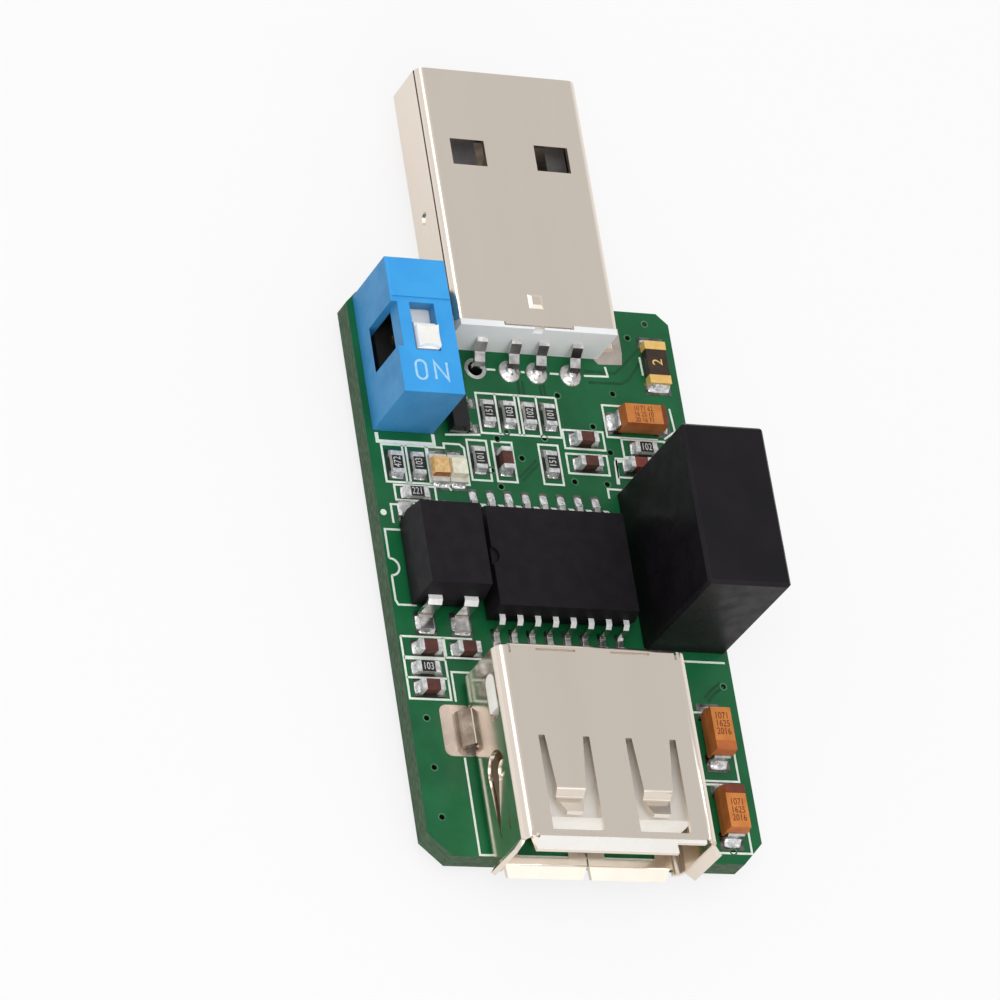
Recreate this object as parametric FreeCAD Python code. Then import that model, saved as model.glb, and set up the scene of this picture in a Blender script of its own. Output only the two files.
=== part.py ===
import FreeCAD, Part
import math
import os

# A USB isolator: a small circuit board with a type A plug at its rear end and a type A socket at its
# front end, and between them a slide switch, an isolator chip, an optocoupler and a potted converter.
# Sizes are in millimetres. While it is built, x runs across the board from its centre line, y runs back
# from the board's front edge towards the plug, and z is up from the board's top surface. Each piece is
# moved to its seat in the part's own frame as it is written out.

os.makedirs("parts", exist_ok=True)
V = FreeCAD.Vector

# Board
board_thickness = 1.6
front_corner_cut = 1.5
rear_corner_cut = 0.8
lead_stub = 0.9  # how far every lead stands out below the board
lead_hole = 1.0
via_hole = 0.4
via_sides = 8
side_via_inset = 1.15
side_via_first = 2.65
side_via_pitch = 3.45

# Plug
plug_width = 12.0
plug_height = 4.5
plug_length = 19.25
plug_corner = 0.7
plug_offset = 0.28  # its centre, across from the board's centre line
plug_overlap = 3.4  # how much of it lies over the board
plug_sink = 1.1  # how far its underside lies below the board's top
plug_slot_gap = 0.15
sheet = 0.3  # steel sheet of both connectors
plug_window_width = 2.5
plug_window_length = 1.98
plug_window_spread = 3.1
plug_window_setback = 6.4
plug_lip_width = 4.9  # the roof reaches a little further back at its middle
plug_lip_reach = 0.18
plug_seam = 0.1
plug_fold_line_drop = 0.5  # from the roof's level to the fold line along the left side
plug_fold_line_width = 0.09
plug_tab_size = 1.05
plug_tab_rise = 0.16
plug_tab_draft = 0.22
plug_tab_setback = 17.6
plug_punch_setback = 10.5
plug_punch_radius = 0.45
punch_depth = 0.12
ear_length = 1.4
ear_reach = 0.95
ear_inset = 0.3
ear_slot_gap = 0.2

# Plug insulator and contacts
plug_tongue_thickness = 1.84
plug_tongue_setback = 0.6
plug_block_depth = 7.2
rear_plate_depth = 0.45
plate_notch_width = 0.75
plate_notch_height = 0.55
rear_plate_inset = 0.28
contact_inner_pitch = 2.0
contact_outer_pitch = 2.5
contact_width = 0.75
contact_thickness = 0.25
contact_bend = 0.25
contact_exit_height = 1.75
plug_pin_setback = 1.83  # from the plug's rear edge to its row of pins
groove_gap = 0.1

# Socket
socket_width = 13.6
socket_height = 5.72
socket_corner = 0.8
socket_offset = -1.12
socket_overhang = 1.0  # how far its mouth stands ahead of the board's front edge
socket_length = 13.45
lip_reach = 0.65
lip_rise = 0.5
lip_corner_cut = 0.6
top_lip_reach = 1.0
top_lip_rise = 0.1
top_lip_corner_cut = 0.3
top_lip_overhang = 0.35  # past the roof's flat, at the left
floor_setback = 0.45  # the floor's front edge stands back from the mouth
floor_lip_reach = 0.75
floor_lip_rise = 0.4
short_lip_length = 2.15
short_lip_depth = 0.25
relief_hole = 0.35
finger_spread = 3.05
finger_opening = 3.56
finger_root_width = 2.68
finger_bend_width = 1.93
finger_tip_width = 1.1
finger_root = 6.95  # measured back from the mouth, as the next four are
finger_bend = 3.42
finger_hook = 2.95
finger_tip = 1.7
finger_opening_start = 0.45
finger_slope = 0.1  # how far it has sunk where it turns down
finger_drop = 0.62
finger_tip_rise = 0.56
side_finger_height = 1.3
side_finger_slot = 0.58
side_finger_slot_root = 0.1  # the slots beside it narrow to this at its root
side_finger_lift = 0.2
side_finger_start = 1.3
side_finger_end = 6.35
side_finger_push = 0.45
side_window_length = 3.3
side_window_height = 1.4
side_window_setback = 10.25
side_window_lift = 1.2
leg_width = 2.5
leg_setback = 9.7
leg_kink = 0.8
leg_top = 1.1
leg_point = 0.5
leg_slot_gap = 0.25
flap_width = 11.6
flap_bottom = 0.9
flap_relief = 0.15
flap_root = 0.8
flap_bend = 0.2
side_wall_setback = 0.25  # the side walls' rear edges, from the flap's outer face
fold_slit_length = 2.8
fold_slit_width = 0.15
fold_slit_setback = 0.5
fold_slit_spread = 2.63
sheet_bend = 0.3

# Socket insulator and contacts
socket_tongue_side_gap = 0.7
socket_tongue_thickness = 1.84
socket_tongue_gap = 1.0
socket_tongue_setback = 1.9
socket_block_setback = 10.9
socket_cheek_reach = 1.6  # forward of the block, beside the tongue
socket_cheek_margin = 0.5  # above and below the window's barb
socket_pin_setback = 2.71  # from the legs' middle to the row of pins
contact_bow = 0.45

# Slide switch
switch_width = 4.3
switch_length = 9.95
switch_height = 5.7
switch_inset = 0.48  # from the board's left edge
switch_rear_inset = 0.42  # from the board's rear edge
switch_front_gap = 0.3  # at least, to the solder of the parts in front of it
switch_wall = 0.6
switch_roof = 1.0
switch_step = 0.12
switch_step_place = 2.0
switch_recess_depth = 0.42
switch_window_length = 3.3
switch_window_bottom = 1.8
switch_window_top = 4.35
switch_sill_drop = 1.35
well_width = 1.75
nub_length = 2.1
nub_rise = 0.35
slider_travel = 1.2
slider_gap = 0.1
well_place = -0.1
slider_flange_width = 2.6
slider_flange_nose = 0.6
slider_flange_tail = 1.7
slider_flange_thickness = 0.8
nub_dish = 0.12
nub_end_hollow = 0.15
nub_edge = 0.15
nub_slope = 0.5
nub_slope_drop = 0.5
switch_base_thickness = 1.2
switch_pin_spacing = 7.62
terminal_width = 0.6
terminal_thickness = 0.25
terminal_blade = 3.0
wiper_length = 3.0
wiper_width = 1.4

# Converter block
converter_width = 6.0
converter_length = 11.6
converter_height = 10.16
converter_inset = 0.12  # from the board's right edge
converter_shift = 0.66  # its middle, to the rear of the chip's middle
converter_wall = 0.6
converter_edge = 0.2
converter_pin_depth = 3.0
converter_fill_drop = 0.4
converter_pin_pitch = 2.54
converter_pin_count = 4
converter_pin_offset = 1.0

# Isolator chip
chip_length = 10.3
chip_width = 7.5
chip_height = 2.3
chip_standoff = 0.2
chip_to_coupler = 0.6
chip_to_converter = 1.03
chip_to_socket = 2.64  # from its leads to the socket's rear
chip_pitch = 1.27
chip_leads_a_side = 8
chip_lead_span = 10.3
chip_lead_width = 0.42
chip_foot = 0.75
chip_notch = 0.65
chip_notch_depth = 0.2
moulding_draft = 0.18
lead_thickness = 0.22
lead_bend = 0.2
lead_root = 0.5  # how far a lead reaches into its body

# Optocoupler
coupler_width = 4.6
coupler_length = 6.2
coupler_height = 3.5
coupler_standoff = 0.25
coupler_margin = 1.05  # from the board's left edge to its body
coupler_shift = 0.16  # its middle, to the rear of the chip's middle
coupler_pitch = 2.54
coupler_lead_span = 9.2
coupler_lead_width = 1.0
coupler_foot = 1.1

# Transistor
transistor_width = 1.35
transistor_length = 2.9
transistor_height = 1.0
transistor_gap = 1.05  # between the switch and its body
transistor_shift = 0.3  # its middle, to the front of the row it stands in
transistor_pitch = 1.9
transistor_lead_width = 0.45
transistor_lead_reach = 0.6
transistor_foot = 0.3
transistor_lead_thickness = 0.15
transistor_standoff = 0.1
transistor_draft = 0.1

# Chip resistors and ceramic capacitors
chip_part_length = 1.6
chip_part_width = 0.8
resistor_height = 0.45
capacitor_height = 0.8
cap_band = 0.32
cap_proud = 0.03

# Tantalum capacitors
tantalum_length = 3.2
tantalum_width = 1.65
tantalum_height = 1.5
tantalum_standoff = 0.15
tantalum_draft = 0.1
tantalum_lead_width = 1.2
tantalum_lead_height = 0.85
tantalum_lead_thickness = 0.15
tantalum_lead_root = 0.3
tantalum_lead_stand = 0.12
tantalum_lead_foot = 0.7

# Fuse and lamps
fuse_length = 3.2
fuse_width = 1.6
fuse_height = 0.7
fuse_band = 0.62
lamp_length = 2.0
lamp_width = 1.25
lamp_base_height = 0.35
lamp_lens_height = 0.45
lamp_lens_length = 1.35
lamp_lens_draft = 0.08

# Solder
solder_toe = 0.42
solder_rise = 0.3
joint_radius = 0.85
joint_height = 0.65
joint_tip = 0.42
joint_sides = 6
dome_radius = 0.75
dome_height = 0.35
dome_tip = 0.34

# Rows across the board, from the chip to the plug
chip_to_middle_row = 3.11  # from the chip's leads to the row of small parts behind it
middle_to_rear_row = 3.55
rear_row_to_pins = 3.32  # from the row behind to the plug's pins

# Small parts in those rows, and from which edge or chip they are counted
small_part_pitch = 1.49
rear_row_first = 2.42  # left of the chip's middle
left_cell_inset = 1.73
left_cell_pitch = 1.56
left_cell_spacing = 2.08  # from the part at the coupler's rear
lamp_inset = 4.72
lamp_pitch = 1.3
lamp_shift = 0.9
beside_lamp = 3.6  # left of the chip's middle
second_beside_lamp = 1.77
right_of_middle = 1.63
below_row_shift = 0.05
cap_column = 4.37  # right of the chip's middle
cap_rear_shift = 1.93
cap_front_shift = 0.12
coupler_end_gap = 0.72
coupler_end_inset = 2.83
right_pair_inset = 3.5
right_pair_shift = 1.55
right_low_inset = 4.25
right_low_shift = 0.2
side_column_inset = 1.67
side_column_pitch = 1.4
side_column_lead = 0.55  # ahead of the coupler's feet
side_first_shift = 0.25  # of the first part in that column, to the right
second_column_inset = 4.65
tantalum_rear_inset = 3.75
tantalum_rear_shift = 0.15
tantalum_side_inset = 2.2
tantalum_first = 3.4
tantalum_spacing = 5.53
fuse_inset = 1.66
fuse_rear_inset = 4.12

# Places that follow from the sizes above
board_width = (coupler_margin + coupler_width + chip_to_coupler + chip_length + chip_to_converter
               + converter_width + converter_inset)
left_edge = -board_width / 2
right_edge = board_width / 2
coupler_x = left_edge + coupler_margin + coupler_width / 2
chip_x = coupler_x + coupler_width / 2 + chip_to_coupler + chip_length / 2
converter_x = right_edge - converter_inset - converter_width / 2
mouth = -socket_overhang
socket_rear = mouth + socket_length
chip_y = socket_rear + chip_to_socket + chip_lead_span / 2
coupler_y = chip_y + coupler_shift
coupler_rear = coupler_y + coupler_lead_span / 2
left_cell_row = coupler_rear + coupler_end_gap + left_cell_spacing
left_cells_end = left_cell_row + chip_part_length / 2 + solder_toe
converter_y = chip_y + converter_shift
middle_row = chip_y + chip_lead_span / 2 + chip_to_middle_row
rear_row = middle_row + middle_to_rear_row
plug_pin_row = rear_row + rear_row_to_pins
plug_rear = plug_pin_row + plug_pin_setback
rear_edge = max(plug_rear + plug_overlap,
                left_cells_end + switch_front_gap + switch_length + switch_rear_inset)
underside = -board_thickness
lead_tip = underside - lead_stub
plug_tip = plug_rear + plug_length
plug_floor = -plug_sink
plug_top = plug_floor + plug_height
plug_middle = (plug_floor + plug_top) / 2
plug_side = plug_width / 2
socket_side = socket_width / 2
socket_tongue_width = socket_width - 2 * sheet - 2 * socket_tongue_side_gap
socket_inner_top = socket_height - sheet
socket_middle = socket_height / 2
side_finger_level = socket_middle + side_finger_lift
leg_row = mouth + leg_setback
socket_pin_row = leg_row + socket_pin_setback
leg_centre = socket_side - sheet / 2 + leg_kink
ear_row = plug_rear + ear_inset + ear_length / 2
ear_peg = plug_side + ear_reach
switch_x = left_edge + switch_inset + switch_width / 2
switch_y = rear_edge - switch_rear_inset - switch_length / 2
contact_places = [
    -contact_inner_pitch / 2 - contact_outer_pitch,
    -contact_inner_pitch / 2,
    contact_inner_pitch / 2,
    contact_inner_pitch / 2 + contact_outer_pitch,
]
front_reach = mouth - lip_reach
floor_front = mouth + floor_setback
lip_edge = min(
    front_reach - sheet / 2 * lip_rise / math.hypot(lip_reach, lip_rise),
    mouth - top_lip_reach - sheet / 2 * top_lip_rise / math.hypot(top_lip_reach, top_lip_rise),
    floor_front - floor_lip_reach - sheet / 2 * floor_lip_rise / math.hypot(floor_lip_reach, floor_lip_rise),
)
seat = V(0, -(lip_edge + plug_tip) / 2, -lead_tip)


def block(x0, x1, y0, y1, z0, z1):
    """A box between two corners."""
    return Part.makeBox(x1 - x0, y1 - y0, z1 - z0, V(x0, y0, z0))


def block_at(x, y, z0, width, length, height):
    """A box centred on x and y, standing on z0."""
    return Part.makeBox(width, length, height, V(x - width / 2, y - length / 2, z0))


def in_plane(plane, a, b, depth):
    """The point a, b of a plane at a depth along the plane's normal."""
    if plane == "yz":
        return V(depth, a, b)
    if plane == "xz":
        return V(a, depth, b)
    return V(a, b, depth)


def along(plane, amount):
    """A vector along the plane's normal."""
    return in_plane(plane, 0, 0, amount)


def prism(plane, outline, low, high):
    """A flat outline of straight sides, drawn out from low to high."""
    corners = [in_plane(plane, a, b, low) for a, b in outline]
    face = Part.Face(Part.makePolygon(corners + corners[:1]))
    return face.extrude(along(plane, high - low))


def rod(plane, a, b, radius, low, high):
    """A round bar or hole along a plane's normal."""
    return Part.makeCylinder(radius, high - low, in_plane(plane, a, b, low), along(plane, 1))


def rounded_bar(plane, a, b, width, height, radius, low, high):
    """A bar with a rounded rectangular section, centred on a and b."""
    w = width / 2
    h = height / 2
    corners = [(a + w, b + h, 0), (a - w, b + h, 90), (a - w, b - h, 180), (a + w, b - h, 270)]
    edges = []
    last = None
    for corner_a, corner_b, start in corners:
        middle_a = corner_a - math.copysign(radius, corner_a - a)
        middle_b = corner_b - math.copysign(radius, corner_b - b)
        points = []
        for step in (0, 45, 90):
            turn = math.radians(start + step)
            points.append(in_plane(plane, middle_a + radius * math.cos(turn),
                                   middle_b + radius * math.sin(turn), low))
        if last is not None:
            edges.append(Part.makeLine(last, points[0]))
        else:
            first = points[0]
        edges.append(Part.Arc(points[0], points[1], points[2]).toShape())
        last = points[2]
    edges.append(Part.makeLine(last, first))
    return Part.Face(Part.Wire(edges)).extrude(along(plane, high - low))


def bend_stations(path, radius):
    """Each run's end points, with what is left for the bend between one run and the next."""
    runs = [V(a, b, 0) for a, b in path]
    corners = []
    for before, corner, after in zip(runs, runs[1:], runs[2:]):
        inward = (corner - before).normalize()
        outward = (after - corner).normalize()
        reach = radius * math.tan(inward.getAngle(outward) / 2)
        corners.append((corner - inward * reach, corner + outward * reach))
    return runs, corners


def side_normals(points):
    """The unit normal to the left of each run."""
    normals = []
    for before, after in zip(points, points[1:]):
        heading = (after - before).normalize()
        normals.append(V(-heading.y, heading.x, 0))
    return normals


def bent_strip(plane, path, thickness, radius, low, high):
    """A strip of sheet bent along a path of straight runs, with a round bend at each corner."""
    runs, corners = bend_stations(path, radius)
    normals = side_normals(runs)

    def lift(point):
        return in_plane(plane, point.x, point.y, low)

    def side_edges(offset):
        previous = runs[0] + normals[0] * offset
        start = previous
        edges = []
        for index, (entry, leaving) in enumerate(corners):
            before = normals[index]
            after = normals[index + 1]
            turn = math.copysign(1, before.cross(after).z)
            centre = entry + before * (turn * radius)
            bisector = (before + after).normalize()
            middle = centre - bisector * (turn * radius) + bisector * offset
            first = entry + before * offset
            last = leaving + after * offset
            edges.append(Part.makeLine(lift(previous), lift(first)))
            edges.append(Part.Arc(lift(first), lift(middle), lift(last)).toShape())
            previous = last
        finish = runs[-1] + normals[-1] * offset
        edges.append(Part.makeLine(lift(previous), lift(finish)))
        return edges, start, finish

    left, left_start, left_finish = side_edges(thickness / 2)
    right, right_start, right_finish = side_edges(-thickness / 2)
    caps = [
        Part.makeLine(lift(left_start), lift(right_start)),
        Part.makeLine(lift(left_finish), lift(right_finish)),
    ]
    wire = Part.Wire(Part.__sortEdges__(left + right + caps))
    return Part.Face(wire).extrude(along(plane, high - low))


def folded_strip(plane, path, thickness, radius, low, high):
    """The same for thin leads: each bend is one flat facet across the corner."""
    runs, corners = bend_stations(path, radius)
    points = [runs[0]]
    for entry, leaving in corners:
        points += [entry, leaving]
    points.append(runs[-1])
    normals = side_normals(points)

    def side(offset):
        line = [points[0] + normals[0] * offset]
        for point, before, after in zip(points[1:], normals, normals[1:]):
            bisector = (before + after).normalize()
            line.append(point + bisector * (offset / bisector.dot(before)))
        line.append(points[-1] + normals[-1] * offset)
        return line

    outline = side(thickness / 2) + side(-thickness / 2)[::-1]
    return prism(plane, [(point.x, point.y) for point in outline], low, high)


def many_sided(x, y, radius, sides, low, high, tip=None, stretch=0):
    """An upright prism or pyramid with flat sides, its corners on a circle or on one drawn out along y."""
    def ring(level, reach):
        corners = []
        for index in range(sides):
            turn = 2 * math.pi * (index + 0.5) / sides
            drawn_out = math.copysign(stretch / 2, math.sin(turn))
            corners.append(V(x + reach * math.cos(turn), y + reach * math.sin(turn) + drawn_out, level))
        return corners

    lower = ring(low, radius)
    upper = ring(high, radius if tip is None else tip)
    outlines = [lower[::-1], upper]
    for index in range(sides):
        following = (index + 1) % sides
        outlines.append([lower[index], lower[following], upper[following], upper[index]])
    faces = [Part.Face(Part.makePolygon(outline + outline[:1])) for outline in outlines]
    return Part.makeSolid(Part.makeShell(faces))


def drafted_body(x, y, floor, width, length, height, draft):
    """A moulded body, widest at its middle, where its leads come out."""
    def ring(level, inset):
        w = width / 2 - inset
        d = length / 2 - inset
        corners = [
            V(x - w, y - d, level),
            V(x + w, y - d, level),
            V(x + w, y + d, level),
            V(x - w, y + d, level),
        ]
        return Part.makePolygon(corners + corners[:1])

    waist = floor + height / 2
    lower = Part.makeLoft([ring(floor, draft), ring(waist, 0)], True, True)
    upper = Part.makeLoft([ring(waist, 0), ring(floor + height, draft)], True, True)
    return lower.fuse(upper).removeSplitter()


def united(shapes):
    """All the shapes fused into one solid, with no seams left in its flat faces."""
    return shapes[0].multiFuse(shapes[1:]).removeSplitter()


def cut_all(shape, tools):
    return shape.cut(Part.makeCompound(tools)) if tools else shape


pieces = {}


def keep(name, shape):
    """Moves a finished piece to its seat in the part's frame and notes it for writing."""
    placed = shape.copy()
    placed.translate(seat)
    pieces[name] = placed


# Plug

def plug_section(inset, low, high, corner):
    return rounded_bar("xz", plug_offset, plug_middle, plug_width - 2 * inset, plug_height - 2 * inset,
                       corner, low, high)


def make_plug_shell():
    """A folded steel tube with four windows, a seam below, a raised boss, and an ear at each side."""
    tube = plug_section(0, plug_rear, plug_tip, plug_corner)
    tube = tube.cut(plug_section(sheet, plug_rear - 1, plug_tip + 1, plug_corner - sheet))
    window_middle = plug_tip - plug_window_setback
    tools = [
        block_at(plug_offset + side * plug_window_spread, window_middle, plug_floor - 1,
                 plug_window_width, plug_window_length, plug_height + 2)
        for side in (-1, 1)
    ]
    tools.append(block(plug_offset - plug_seam / 2, plug_offset + plug_seam / 2, plug_rear - 1, plug_tip + 1,
                       plug_floor - 1, plug_floor + sheet))
    fold_line = plug_top - plug_fold_line_drop
    tools.append(block(plug_offset - plug_side - 1, plug_offset - plug_side + punch_depth, plug_rear - 1,
                       plug_tip + 1, fold_line - plug_fold_line_width / 2,
                       fold_line + plug_fold_line_width / 2))
    punch_row = plug_tip - plug_punch_setback
    for side in (-1, 1):
        outer = plug_offset + side * plug_side
        tools.append(rod("yz", punch_row, plug_middle, plug_punch_radius, outer - punch_depth,
                         outer + punch_depth))
    tube = cut_all(tube, tools)
    boss = drafted_body(plug_offset, plug_tip - plug_tab_setback, plug_top - plug_tab_rise, plug_tab_size,
                        plug_tab_size, 2 * plug_tab_rise, plug_tab_draft)
    lip = block(plug_offset - plug_lip_width / 2, plug_offset + plug_lip_width / 2,
                plug_rear - plug_lip_reach, plug_rear + sheet, plug_top - sheet, plug_top)
    ears = []
    for side in (-1, 1):
        wall = plug_offset + side * (plug_side - sheet)
        peg = plug_offset + side * ear_peg
        path = [(wall, sheet / 2), (peg, sheet / 2), (peg, lead_tip)]
        ears.append(bent_strip("xz", path, sheet, sheet_bend, ear_row - ear_length / 2,
                               ear_row + ear_length / 2))
    return united([tube, boss, lip] + ears)


def plug_contact_path():
    """From the tongue's tip back through the block, out, down and into the board."""
    rest = plug_floor + sheet + plug_tongue_thickness - contact_thickness / 2
    back_face = plug_rear - rear_plate_depth
    return [
        (plug_tip - plug_tongue_setback - 1.0, rest),
        (plug_rear + 1.6, rest),
        (plug_rear + 0.8, contact_exit_height),
        (back_face - 0.1, contact_exit_height),
        (back_face - 0.64, contact_exit_height - 0.75),
        (plug_pin_row, contact_exit_height - 1.03),
        (plug_pin_row, lead_tip),
    ]


def make_plug_contacts():
    contacts = []
    for place in contact_places:
        middle = plug_offset + place
        contacts.append(folded_strip("yz", plug_contact_path(), contact_thickness, contact_bend,
                                     middle - contact_width / 2, middle + contact_width / 2))
    return contacts


def make_plug_insulator(contacts):
    """The block inside the plug, with the tongue that carries the contacts and a plate behind."""
    inner_floor = plug_floor + sheet
    inner_width = plug_width - 2 * sheet
    block_front = plug_rear + plug_block_depth
    core = plug_section(sheet, plug_rear, block_front, plug_corner - sheet / 2)
    tongue = block_at(plug_offset, (block_front + plug_tip - plug_tongue_setback) / 2, inner_floor,
                      inner_width - plug_corner, plug_tip - plug_tongue_setback - block_front,
                      plug_tongue_thickness)
    plate = block(plug_offset - plug_side + rear_plate_inset, plug_offset + plug_side - rear_plate_inset,
                  plug_rear - rear_plate_depth, plug_rear, 0, plug_top)
    lip_half = plug_lip_width / 2 + groove_gap
    under_lip = block(plug_offset - lip_half, plug_offset + lip_half,
                      plug_rear - plug_lip_reach - groove_gap, plug_rear, plug_top - sheet, plug_top + 1)
    notch = block_at(plug_offset, plug_rear - rear_plate_depth / 2, plug_top - plate_notch_height,
                     plate_notch_width, rear_plate_depth, plate_notch_height + 1)
    plate = plate.cut(Part.makeCompound([under_lip, notch]))
    return united([core, tongue, plate]).cut(Part.makeCompound(contacts))


# Socket

def socket_section(inset, low, high, corner):
    return rounded_bar("xz", socket_offset, socket_middle, socket_width - 2 * inset, socket_height - 2 * inset,
                       corner, low, high)


def flat_finger(side, above):
    """A lanced spring finger of the roof or floor, turned into the mouth, with a tip that turns back."""
    level = socket_height - sheet / 2 if above else sheet / 2
    inward = -1 if above else 1
    middle = socket_offset + side * finger_spread
    root = mouth + finger_root
    bend = mouth + finger_bend
    hook = mouth + finger_hook
    tip = mouth + finger_tip
    path = [
        (root, level),
        (root - 0.5, level),
        (bend, level + inward * finger_slope),
        (hook, level + inward * finger_drop),
        (tip, level + inward * (finger_drop - finger_tip_rise)),
    ]
    strip = bent_strip("yz", path, sheet, sheet_bend, middle - finger_root_width / 2,
                       middle + finger_root_width / 2)
    outline = [
        (middle - finger_root_width / 2, root + 1),
        (middle - finger_root_width / 2, root),
        (middle - finger_bend_width / 2, hook),
        (middle - finger_tip_width / 2, tip),
        (middle - finger_tip_width / 2, tip - 1),
        (middle + finger_tip_width / 2, tip - 1),
        (middle + finger_tip_width / 2, tip),
        (middle + finger_bend_width / 2, hook),
        (middle + finger_root_width / 2, root),
        (middle + finger_root_width / 2, root + 1),
    ]
    return strip.common(prism("xy", outline, -1, socket_height + 1))


def side_finger(side):
    """A lanced spring finger of a side wall, with a round end that points to the rear."""
    level = socket_offset + side * (socket_side - sheet / 2)
    start = mouth + side_finger_start
    end = mouth + side_finger_end
    round_end = side_finger_height / 2
    path = [
        (level, start),
        (level, start + 0.5),
        (level - side * side_finger_push, end - 0.9),
        (level - side * side_finger_push, end),
    ]
    strip = bent_strip("xy", path, sheet, sheet_bend, side_finger_level - round_end,
                       side_finger_level + round_end)
    long_part = block(level - 2, level + 2, start - 1, end - round_end, side_finger_level - round_end,
                      side_finger_level + round_end)
    nose = rod("yz", end - round_end, side_finger_level, round_end, level - 2, level + 2)
    return strip.common(long_part.fuse(nose))


def side_finger_opening(side):
    """The opening round that finger, which narrows towards the finger's root."""
    outer = socket_offset + side * socket_side
    start = mouth + side_finger_start
    end = mouth + side_finger_end + side_finger_slot
    half = side_finger_height / 2 + side_finger_slot
    root_half = side_finger_height / 2 + side_finger_slot_root
    outline = [
        (start, side_finger_level - root_half),
        (end - half, side_finger_level - half),
        (end - half, side_finger_level + half),
        (start, side_finger_level + root_half),
    ]
    long_part = prism("yz", outline, outer - 1, outer + 1)
    return long_part.fuse(rod("yz", end - half, side_finger_level, half, outer - 1, outer + 1))


def side_window(side, inset):
    """The opening in a side wall where the insulator's barb shows, or the barb itself."""
    outer = socket_offset + side * socket_side
    return rounded_bar("yz", mouth + side_window_setback, socket_middle + side_window_lift,
                       side_window_length - 2 * inset, side_window_height - 2 * inset,
                       (side_window_height - 2 * inset) / 2.2, outer - sheet, outer + sheet)


def socket_leg(side):
    """A kinked leg that leaves a side wall's foot and goes down through the board to a blunt point."""
    wall = socket_offset + side * (socket_side - sheet / 2)
    leg = socket_offset + side * leg_centre
    path = [(wall, leg_top + sheet), (wall, leg_top - sheet / 2), (leg, sheet), (leg, lead_tip)]
    strip = bent_strip("xz", path, sheet, sheet_bend, leg_row - leg_width / 2, leg_row + leg_width / 2)
    half = leg_width / 2
    outline = [
        (leg_row - half, leg_top + 1),
        (leg_row - half, lead_tip + leg_point),
        (leg_row - half + leg_point, lead_tip),
        (leg_row + half - leg_point, lead_tip),
        (leg_row + half, lead_tip + leg_point),
        (leg_row + half, leg_top + 1),
    ]
    return strip.common(prism("yz", outline, leg - 3, leg + 3))


def flat_lip(low, high, above):
    """A flared lip at the mouth, along the roof or the floor, between two places across."""
    level = socket_height - sheet / 2 if above else sheet / 2
    root = mouth if above else floor_front
    reach = top_lip_reach if above else floor_lip_reach
    rise = top_lip_rise if above else -floor_lip_rise
    corner_cut = top_lip_corner_cut if above else lip_corner_cut
    path = [(root + 0.3, level), (root, level), (root - reach, level + rise)]
    strip = bent_strip("yz", path, sheet, 0.2, low, high)
    outline = [
        (low, root + 1),
        (low, root),
        (low + corner_cut, root - reach - 1),
        (high - corner_cut, root - reach - 1),
        (high, root),
        (high, root + 1),
    ]
    return strip.common(prism("xy", outline, level - 2, level + 2))


def side_lip(side):
    level = socket_offset + side * (socket_side - sheet / 2)
    low = socket_corner
    high = socket_height - socket_corner
    path = [(level, mouth + 0.3), (level, mouth), (level + side * lip_rise, front_reach)]
    strip = bent_strip("xy", path, sheet, 0.2, low, high)
    outline = [
        (mouth + 1, low),
        (mouth, low),
        (front_reach - 1, low + lip_corner_cut),
        (front_reach - 1, high - lip_corner_cut),
        (mouth, high),
        (mouth + 1, high),
    ]
    return strip.common(prism("yz", outline, level - 2, level + 2))


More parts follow.
